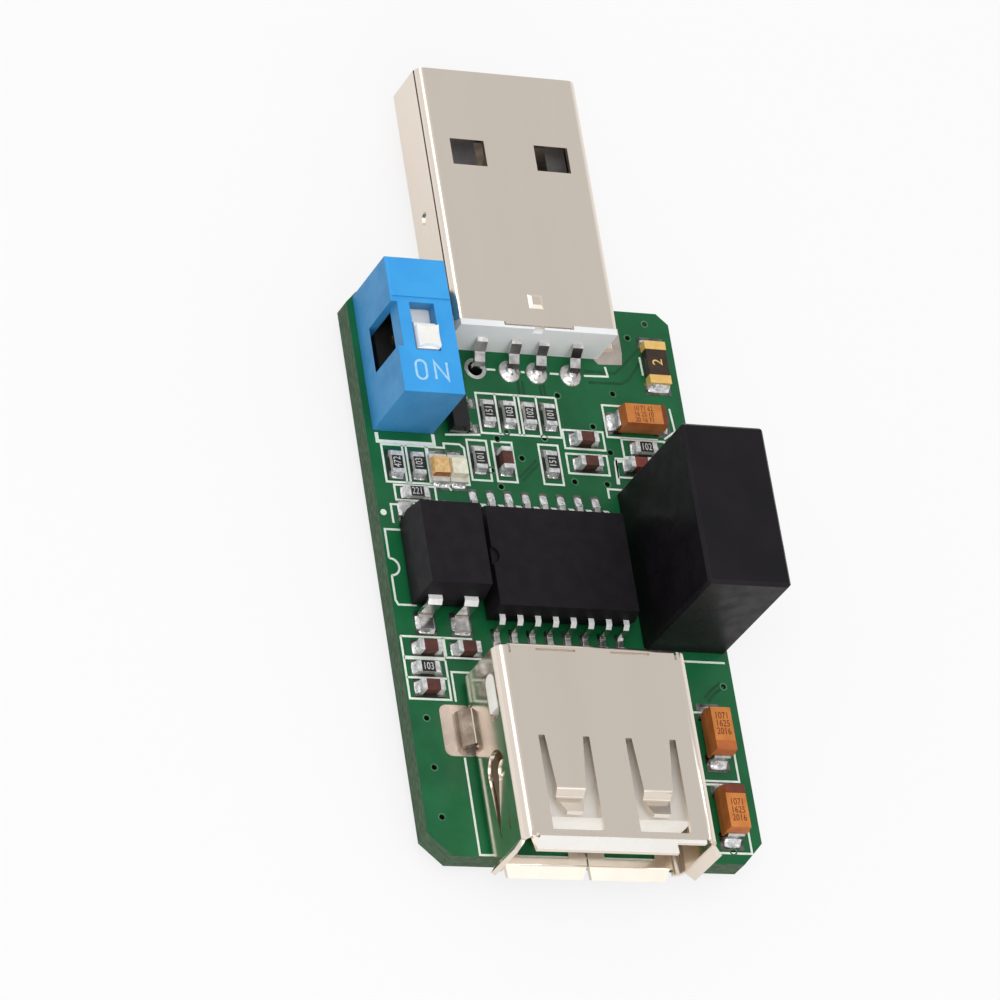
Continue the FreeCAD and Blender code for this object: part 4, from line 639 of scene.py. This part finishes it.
def wet(x, y, dx, dy, look, **changes):
    # solder at one end, whose middle is x, y and whose way out is dx, dy
    look = {**look, **changes}
    addSlope(slopes, x - dx * look["lap"], y - dy * look["lap"], dx, dy,
             look["width"], look["reach"], look["rise"])
    across, along = look["padWidth"], look["padLength"]
    sizeX, sizeY = (along, across) if dx else (across, along)
    addPrism(pads, roundedOutline(x + dx * look["padOut"], y + dy * look["padOut"], sizeX, sizeY,
                                  look["corner"]), 0.0, solder["padHeight"])


def partEnds(node):
    # the middle of each end of a long part, the way out of it and its width there
    low, high = boardBox(node)
    middle = (low + high) / 2
    ends = []
    for side, end in ((-1, low), (1, high)):
        if alongX(node):
            ends.append((end.x, middle.y, side, 0, high.y - low.y))
        else:
            ends.append((middle.x, end.y, 0, side, high.x - low.x))
    return ends


for node in chipParts + ["fuse"]:
    look = solder["fuse" if node == "fuse" else "chip"]
    rise = min(look["rise"], boardBox(node)[1].z * chipSolder["riseShare"])
    for x, y, dx, dy, width in partEnds(node):
        wet(x, y, dx, dy, look, rise=rise, width=width * chipSolder["widthShare"],
            padWidth=width + 2 * chipSolder["padGrow"])

lampLow, lampHigh = boardBox("lamp_bases")
for lens in ("amber_lamp_lens", "white_lamp_lens"):
    for side, end in ((-1, lampLow), (1, lampHigh)):
        wet(boardMiddle(lens).x, end.y, 0, side, solder["lamp"])

for node in ("tantalum_1", "tantalum_2", "tantalum_3"):
    for x, y, dx, dy, width in partEnds(node):
        wet(x, y, dx, dy, solder["strap"])

feetLow, feetHigh = boardBox("isolator_leads")
feetMiddle = (feetLow.x + feetHigh.x) / 2
for index in range(isolatorRow):
    x = feetMiddle + (index - (isolatorRow - 1) / 2) * feetSpacing["isolator"]
    wet(x, feetLow.y, 0, -1, solder["isolatorFront"])
    wet(x, feetHigh.y, 0, 1, solder["isolatorRear"])

feetLow, feetHigh = boardBox("coupler_leads")
feetMiddle = (feetLow.x + feetHigh.x) / 2
for place in (-1, 1):
    x = feetMiddle + place * feetSpacing["coupler"]
    for side, toe in ((-1, feetLow), (1, feetHigh)):
        wet(x, toe.y, 0, side, solder["coupler"])
        for flank in (-1, 1):
            addSlope(slopes, x + flank * couplerFlank["out"], toe.y + side * solder["coupler"]["padOut"],
                     flank, 0, couplerFlank["width"], couplerFlank["reach"], couplerFlank["rise"])

feetLow, feetHigh = boardBox("transistor_leads")
bodyMiddle = boardMiddle("transistor_body")
for side, toe, place in ((1, feetHigh, -1), (1, feetHigh, 1), (-1, feetLow, 0)):
    wet(toe.x, bodyMiddle.y + place * feetSpacing["transistor"], side, 0, solder["transistor"])

# Solder at the pins: the plug's first pin stands in an open ring, and the others in flat domes

pinSolder = {
    "pinHalf": 0.125,
    "pad": {"inner": 0.5, "outer": 0.8, "height": 0.035, "sides": 28},
    "open": {"inner": 0.53, "outer": 0.78, "height": 0.05, "sides": 32},
    "dome": [(0.78, 0.0), (0.79, 0.05), (0.75, 0.11), (0.62, 0.17), (0.47, 0.23), (0.33, 0.34), (0.22, 0.46),
             (0.05, 0.5)],
    "domeShift": (-0.03, -0.05),
    "domeSides": 24,
    "domeStretch": 1.06,
}
plugPins = [boardMiddle("plug_contact_%d" % n).x for n in range(1, 5)]
pinRow = boardBox("plug_contact_1")[0].y + pinSolder["pinHalf"]
ring = pinSolder["pad"]
for x in plugPins[1:]:
    addRing(pads, x, pinRow, ring["inner"], ring["outer"], 0.0, ring["height"], ring["sides"])
makePiece("solder_pads", pads, ["padTin"])
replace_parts(makePiece("solder_slopes", slopes, ["tinSolder"], smoothAngle=60), "solder_fillets")

bm = bmesh.new()
ring = pinSolder["open"]
addRing(bm, plugPins[0], pinRow, ring["inner"], ring["outer"], 0.0, ring["height"], ring["sides"])
shiftX, shiftY = pinSolder["domeShift"]
for x in plugPins[1:]:
    addRevolve(bm, x + shiftX, pinRow + shiftY, pinSolder["dome"], pinSolder["domeSides"],
               pinSolder["domeStretch"])
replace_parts(makePiece("solder_domes_round", bm, ["domeTin"], smoothAngle=60), "solder_domes")

# under the board every pin, peg and leg ends in a cone
underSolder = {
    "cone": [(0.88, 0.0), (0.86, 0.05), (0.72, 0.14), (0.55, 0.3), (0.43, 0.5), (0.34, 0.66), (0.2, 0.72)],
    "sides": 20,
    "wideSides": 24,
    "wideStretch": 1.75,
    "pegInset": 0.15,
    "pegRow": 38.2,
    "legInset": 0.35,
    "legRow": 8.7,
    "switchPin": 3.81,
    "converterInset": 0.3,
}
pinPlaces = [(x, pinRow) for x in plugPins]
socketRow = boardBox("socket_contact_1")[1].y - pinSolder["pinHalf"]
pinPlaces += [(boardMiddle("socket_contact_%d" % n).x, socketRow) for n in range(1, 5)]
pinPlaces += [(switchMiddle.x, switchMiddle.y + side * underSolder["switchPin"]) for side in (-1, 1)]
pinsLow, pinsHigh = boardBox("converter_pins")
firstPin, lastPin = pinsLow.y + underSolder["converterInset"], pinsHigh.y - underSolder["converterInset"]
pinPlaces += [((pinsLow.x + pinsHigh.x) / 2, firstPin + index * (lastPin - firstPin) / 3)
              for index in range(4)]
socketLegs = [socketLow.x + underSolder["legInset"], socketHigh.x - underSolder["legInset"]]
plugPegs = [plugLow.x + underSolder["pegInset"], plugHigh.x - underSolder["pegInset"]]
widePlaces = [(x, underSolder["pegRow"]) for x in plugPegs] + [(x, underSolder["legRow"]) for x in socketLegs]
bm = bmesh.new()
cone = [(radius, -boardThickness - drop) for radius, drop in underSolder["cone"]][::-1]
for x, y in pinPlaces:
    addRevolve(bm, x, y, cone, underSolder["sides"])
for x, y in widePlaces:
    addRevolve(bm, x, y, cone, underSolder["wideSides"], underSolder["wideStretch"])
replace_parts(makePiece("solder_cones", bm, ["tinSolder"], smoothAngle=60), "solder_joints")
print("solder made")

# Pads on the top for the socket's legs and the plug's ears

legPads = {
    "height": 0.03,
    "out": 0.22,
    "row": 8.75,
    "width": 2.3,
    "length": 3.6,
    "corner": 0.5,
    "ear": [(5.73, 36.35), (7.5, 36.42), (7.65, 37.3), (7.65, 39.2), (5.45, 39.2), (5.45, 36.69)],
}
bm = bmesh.new()
for x in socketLegs:
    middle = x + math.copysign(legPads["out"], x - socketMiddle)
    addPrism(bm, roundedOutline(middle, legPads["row"], legPads["width"], legPads["length"],
                                legPads["corner"], 6), 0.0, legPads["height"])
for side in (-1, 1):
    addPrism(bm, [(plugMiddle + side * x, y) for x, y in legPads["ear"]][::side], 0.0, legPads["height"])
makePiece("leg_pads", bm, ["legTin"])

# The two connectors

dressNode("plug_shell", ["nickelSteel"])

# the fold line along the plug's left side, a painted shadow in its groove
foldLine = {"drop": 0.5, "width": 0.11, "bossRise": 0.16, "side": 5.98, "depth": 0.04, "proud": 0.012,
            "rearGap": 1.0, "tipGap": 0.02}
level = plugHigh.z - foldLine["bossRise"] - foldLine["drop"]
wall = plugMiddle - foldLine["side"]
outline = boxOutline(wall - foldLine["proud"], plateLow.y + foldLine["rearGap"],
                     wall + foldLine["depth"], plugHigh.y - foldLine["tipGap"])
bm = bmesh.new()
addPrism(bm, outline, level - foldLine["width"] / 2, level + foldLine["width"] / 2)
makePiece("plug_fold_shadow", bm, ["foldShadow"], smoothAngle=20)

# the socket's top lip has a painted highlight, near white, and its legs below the tube are painted darker, a
# painted reflection of the dark round them
connectorDress = {"lipReach": 1.0, "lipFloor": 5.0, "legTop": 3.6, "legReach": 6.95, "legSetback": 3.0,
                  "plateDepth": 1.2}


def socketSlot(place, normal):
    fromMouth = place.y - socketLow.y
    if normal.z > 0.9 and place.z > connectorDress["lipFloor"] and fromMouth < connectorDress["lipReach"]:
        return 1
    outside = abs(place.x - socketMiddle) > connectorDress["legReach"]
    if outside and place.z < connectorDress["legTop"] and fromMouth > connectorDress["legSetback"]:
        return 2
    return 0


dressNode("socket_shell", ["nickelSteel", "lipPaintedHighlight", "legPaintedReflection"], socketSlot)
# the insulator's faces inside the shell are a darker grey, painted shade
dressNode("plug_insulator", ["greyInsulator", "plugInsidePaintedShade"],
          lambda place, normal: int(place.y > plateLow.y + connectorDress["plateDepth"]))
dressNode("socket_insulator", ["socketInsulator"])
for number in range(1, 5):
    dressNode("plug_contact_%d" % number, ["tinnedLead"])
    dressNode("socket_contact_%d" % number, ["copperAlloy"])
print("connectors dressed")


# The slide switch

def paintShadeOnSides(place, normal):
    # the second finish, a painted shade, for every face that doesn't look up
    return int(normal.z < 0.5)


dressNode("switch_housing", ["switchBlue", "switchBluePaintedShade"], paintShadeOnSides, bevel=0.05)
dressNode("switch_base", ["switchBlack"])
dressNode("switch_slider", ["sliderWhite"], bevel=0.08, segments=3)
for node in ("switch_wiper", "switch_terminal_front", "switch_terminal_rear"):
    dressNode(node, ["copperAlloy"])
lettering = {"o": (0.72, 1.37), "n": (0.86, 1.27), "stroke": 0.16, "spacing": 0.71, "shift": -0.05, "y": 1.62,
             "sunk": (0.13, 0.095)}
letterLow, letterHigh = [switchHigh.z - depth for depth in lettering["sunk"]]
letterY = switchLow.y + lettering["y"]
leftX, rightX = [switchMiddle.x + lettering["shift"] + side * lettering["spacing"] for side in (-1, 1)]
bm = bmesh.new()
width, height = lettering["o"]
addRibbon(bm, roundedOutline(leftX, letterY, width, height, width / 2 - 0.01), lettering["stroke"],
          letterLow, letterHigh, closed=True)
width, height = lettering["n"]
outline = [(rightX + side * width / 2, letterY + rise * height / 2)
           for side, rise in ((-1, -1), (-1, 1), (1, -1), (1, 1))]
addRibbon(bm, outline, lettering["stroke"], letterLow, letterHigh)
makePiece("switch_lettering", bm, ["letteringWhite"], smoothAngle=20)
print("switch dressed")

# The black parts

dressNode("converter_case", ["pottedBlack"], bevel=0.06)
dressNode("converter_potting", ["pottedBlack"])
dressNode("converter_pins", ["tinnedLead"])
dressNode("isolator_chip", ["chipBlack"], bevel=0.05)
dressNode("coupler_body", ["chipBlack"], bevel=0.05)
dressNode("transistor_body", ["glossBlack"], bevel=0.05)
# the up-facing tops of the leads' shoulders get a painted highlight, near white
leadDress = {"shoulder": 1.0, "bevel": 0.03}
for node in ("isolator_leads", "coupler_leads", "transistor_leads", "tantalum_leads"):
    dressNode(node, ["tinnedLead", "shoulderPaintedHighlight"],
              lambda place, normal: int(normal.z > 0.5 and place.z > leadDress["shoulder"]),
              bevel=leadDress["bevel"])


# The small parts: a body with a metal cap at each end

def capsAtEnds(node, band):
    low, high = boardBox(node)
    along = 0 if alongX(node) else 1

    def choose(place, normal):
        if min(place[along] - low[along], high[along] - place[along]) < band:
            return 1
        return 0 if normal.z > 0.5 else 2
    return choose


capWidth = {"chip": 0.33, "fuse": 0.63}
for node in chipParts:
    if node.startswith("resistor"):
        top, side, bevel = "resistorGlaze", "resistorSide", 0.04
    else:
        top = side = "capacitorRed" if node == "capacitor_7" else "capacitorBrown"
        bevel = 0.06
    dressNode(node, [top, "capTin", side], capsAtEnds(node, capWidth["chip"]), bevel=bevel)
dressNode("fuse", ["fuseBody", "fuseGold", "fuseBody"], capsAtEnds("fuse", capWidth["fuse"]), bevel=0.05)
for number in range(1, 4):
    dressNode("tantalum_%d" % number, ["tantalumOrange", "tantalumPaintedShade"], paintShadeOnSides, bevel=0.07)
dressNode("lamp_bases", ["lampBase"], bevel=0.04)
dressNode("amber_lamp_lens", ["amberLens", "amberFringe"], lambda place, normal: int(normal.y < -0.5),
          bevel=0.06)
dressNode("white_lamp_lens", ["milkyLens"], bevel=0.06)

# a band at one end of each tantalum capacitor, a little proud of the body, and its numbers: end says which
# end has the band, and tone is the band's finish
tantalums = {
    "tantalum_1": {"end": 1, "band": 0.32, "tone": 0, "rows": ("10 71 62", "16 25 10", "20 16 71"),
                   "gap": 0.43, "height": 0.36, "shift": (-0.2, -0.06)},
    "tantalum_2": {"end": -1, "band": 0.6, "tone": 1, "rows": ("1071", "1625", "2016"),
                   "gap": 0.56, "height": 0.47, "shift": (0.0, 0.3)},
    "tantalum_3": {"end": 1, "band": 0.6, "tone": 0, "rows": ("1071", "1625", "2016"),
                   "gap": 0.56, "height": 0.47, "shift": (0.0, -0.3)},
}
tantalumBand = {"inset": 0.1, "sunk": 0.05, "proud": 0.015}
valueStretch = 0.78
bm = bmesh.new()
for node, look in tantalums.items():
    low, high = boardBox(node)
    left, right = low.x + tantalumBand["inset"], high.x - tantalumBand["inset"]
    front, rear = low.y + tantalumBand["inset"], high.y - tantalumBand["inset"]
    band, atFar = look["band"], look["end"] > 0
    if alongX(node):
        left, right = (right - band, right) if atFar else (left, left + band)
    else:
        front, rear = (rear - band, rear) if atFar else (front, front + band)
    addPrism(bm, boxOutline(left, front, right, rear), high.z - tantalumBand["sunk"],
             high.z + tantalumBand["proud"], look["tone"])
makePiece("tantalum_bands", bm, ["tantalumBand", "tantalumFaint"], smoothAngle=20)

resistorPrint = {"values": ["151", "103", "102", "101", "472", "103", "101", "151", "221", "103", "102"],
                 "height": 0.5, "stretch": 0.74, "sunk": 0.03}
entries = []
for number, value in enumerate(resistorPrint["values"], 1):
    node = "resistor_%d" % number
    middle, top = boardMiddle(node), boardBox(node)[1].z
    entries.append((value, middle.x, middle.y, top - resistorPrint["sunk"], resistorPrint["height"],
                    0 if alongX(node) else 90, resistorPrint["stretch"]))
writeOn("resistor_values", entries, "printOnPart")

entries = []
for node, look in tantalums.items():
    middle, top = boardMiddle(node), boardBox(node)[1].z
    shiftX, shiftY = look["shift"]
    for row, text in enumerate(look["rows"]):
        entries.append((text, middle.x + shiftX, middle.y + shiftY + (1 - row) * look["gap"], top,
                        look["height"], 0, valueStretch))
writeOn("tantalum_values", entries, "printBrown")

fusePrint = {"value": "2", "height": 0.75, "sunk": 0.03}
middle, top = boardMiddle("fuse"), boardBox("fuse")[1].z
writeOn("fuse_value", [(fusePrint["value"], middle.x, middle.y, top - fusePrint["sunk"], fusePrint["height"],
                        90, 1.0)], "fuseGold")
print("small parts dressed")

# Floor, in metres: the eye sees it paler than the parts do, as on an overexposed backdrop

floorPlan = {
    "half": 0.6,
    "sink": 0.0002,
    "color": (0.93, 0.925, 0.915, 1.0),
    "rough": 0.75,
    "gloss": 0.2,
    "seenColor": (1.0, 0.995, 1.0, 1.0),
    "seenShare": 0.8,
    "mirroredShare": 0.4,
}
bm = bmesh.new()
level = cadLow.z - floorPlan["sink"]
bm.faces.new([bm.verts.new((x * floorPlan["half"], y * floorPlan["half"], level))
              for x, y in ((-1, -1), (1, -1), (1, 1), (-1, 1))])
mesh = bpy.data.meshes.new("floor")
bm.to_mesh(mesh)
bm.free()
floor = bpy.data.objects.new("floor", mesh)
bpy.context.scene.collection.objects.link(floor)
floorFinish = bpy.data.materials.new("paleFloor")
floorFinish.use_nodes = True
tree = floorFinish.node_tree
shader = tree.nodes["Principled BSDF"]
shader.inputs["Base Color"].default_value = floorPlan["color"]
shader.inputs["Roughness"].default_value = floorPlan["rough"]
shader.inputs["Specular IOR Level"].default_value = floorPlan["gloss"]
pale = tree.nodes.new("ShaderNodeEmission")
pale.inputs["Color"].default_value = floorPlan["seenColor"]
ray = tree.nodes.new("ShaderNodeLightPath")


def combine(operation, first, second):
    # two numbers in one, where the second is a socket or a plain number
    node = tree.nodes.new("ShaderNodeMath")
    node.operation = operation
    tree.links.new(first, node.inputs[0])
    if isinstance(second, float):
        node.inputs[1].default_value = second
    else:
        tree.links.new(second, node.inputs[1])
    return node.outputs["Value"]


mirrored = combine("MAXIMUM", ray.outputs["Is Glossy Ray"], ray.outputs["Is Transmission Ray"])
mirrored = combine("MULTIPLY", mirrored, floorPlan["mirroredShare"])
seen = combine("MAXIMUM", ray.outputs["Is Camera Ray"], mirrored)
blend = tree.nodes.new("ShaderNodeMixShader")
tree.links.new(combine("MULTIPLY", seen, floorPlan["seenShare"]), blend.inputs[0])
tree.links.new(shader.outputs["BSDF"], blend.inputs[1])
tree.links.new(pale.outputs["Emission"], blend.inputs[2])
tree.links.new(blend.outputs["Shader"], tree.nodes["Material Output"].inputs["Surface"])
mesh.materials.append(floorFinish)

# The room: even and pale, with a dim card high behind the right side that keeps the tops of the black and
# green parts deep

room = {
    "low": (0.86, 0.855, 0.85, 1),
    "high": (0.8, 0.8, 0.8, 1),
    "highFrom": 0.75,
    "card": (0.64, 0.64, 0.64, 1),
    "cardWay": (0.416, 0.432, 0.80),
    "cardEdge": (0.72, 0.95),
}
world = bpy.data.worlds.new("studio")
bpy.context.scene.world = world
world.use_nodes = True
tree = world.node_tree
place = tree.nodes.new("ShaderNodeTexCoord")
split = tree.nodes.new("ShaderNodeSeparateXYZ")
ramp = tree.nodes.new("ShaderNodeValToRGB")
ends = ramp.color_ramp.elements
ends[0].position, ends[0].color = 0.0, room["low"]
ends[1].position, ends[1].color = room["highFrom"], room["high"]
toCard = tree.nodes.new("ShaderNodeVectorMath")
toCard.operation = "DOT_PRODUCT"
toCard.inputs[1].default_value = Vector(room["cardWay"]).normalized()
cardShare = tree.nodes.new("ShaderNodeMapRange")
cardShare.interpolation_type = "SMOOTHSTEP"
cardShare.inputs["From Min"].default_value, cardShare.inputs["From Max"].default_value = room["cardEdge"]
dim = tree.nodes.new("ShaderNodeMix")
dim.data_type = "RGBA"
dim.inputs[7].default_value = room["card"]
for source, target in (
    (place.outputs["Generated"], split.inputs[0]),
    (split.outputs["Z"], ramp.inputs["Fac"]),
    (place.outputs["Generated"], toCard.inputs[0]),
    (toCard.outputs["Value"], cardShare.inputs["Value"]),
    (cardShare.outputs["Result"], dim.inputs[0]),
    (ramp.outputs["Color"], dim.inputs[6]),
    (dim.outputs[2], tree.nodes["Background"].inputs["Color"]),
):
    tree.links.new(source, target)

# Lamps, in metres and watts: the cards are bright sheets that only gloss shows, so their light leaves the
# colours as they are

lamps = {
    "overhead": {"place": (-0.16, -0.10, 0.42), "size": 0.24, "power": 0.34},
    "front": {"place": (-0.06, -0.42, 0.16), "size": 0.26, "power": 0.34},
    "leftCard": {"place": (-0.25, 0.215, 0.38), "size": 0.15, "power": 0.14, "glossOnly": True},
    "lipCard": {"place": (0.2, -0.23, 0.37), "size": 0.14, "power": 0.03, "glossOnly": True},
    "frontCard": {"place": (0.01, -0.25, 0.38), "size": 0.11, "power": 0.34, "glossOnly": True},
}
lampAim = Vector((0, 0, 0.004))
for name, lamp in lamps.items():
    light = bpy.data.lights.new(name, "AREA")
    light.shape = "SQUARE"
    light.size = lamp["size"]
    light.energy = lamp["power"]
    lightObject = bpy.data.objects.new(name, light)
    lightObject.location = lamp["place"]
    lightObject.visible_diffuse = not lamp.get("glossOnly", False)
    lightObject.visible_camera = False
    lightObject.rotation_euler = (lampAim - Vector(lamp["place"])).to_track_quat("-Z", "Y").to_euler()
    bpy.context.scene.collection.objects.link(lightObject)

# Camera, in the board's millimetres, where the photograph was taken from

cameraPlan = {
    "place": (-156.534, -133.587, 295.200),
    "right": (0.90767, -0.14593, 0.39351),
    "up": (-0.05306, 0.89018, 0.45251),
    "back": (-0.41633, -0.43160, 0.80024),
    "lens": 202.70,
    "sensor": 36,
    "clip": (0.01, 10),
}
cameraData = bpy.data.cameras.new("camera")
cameraData.lens = cameraPlan["lens"]
cameraData.sensor_width = cameraPlan["sensor"]
cameraData.clip_start, cameraData.clip_end = cameraPlan["clip"]
camera = bpy.data.objects.new("camera", cameraData)
bpy.context.scene.collection.objects.link(camera)
turn = Matrix((cameraPlan["right"], cameraPlan["up"], cameraPlan["back"])).transposed().to_4x4()
camera.matrix_world = Matrix.Translation(onBoard(*cameraPlan["place"])) @ turn
bpy.context.scene.camera = camera
bpy.context.scene.view_settings.view_transform = "Standard"
print("floor, light and camera set")
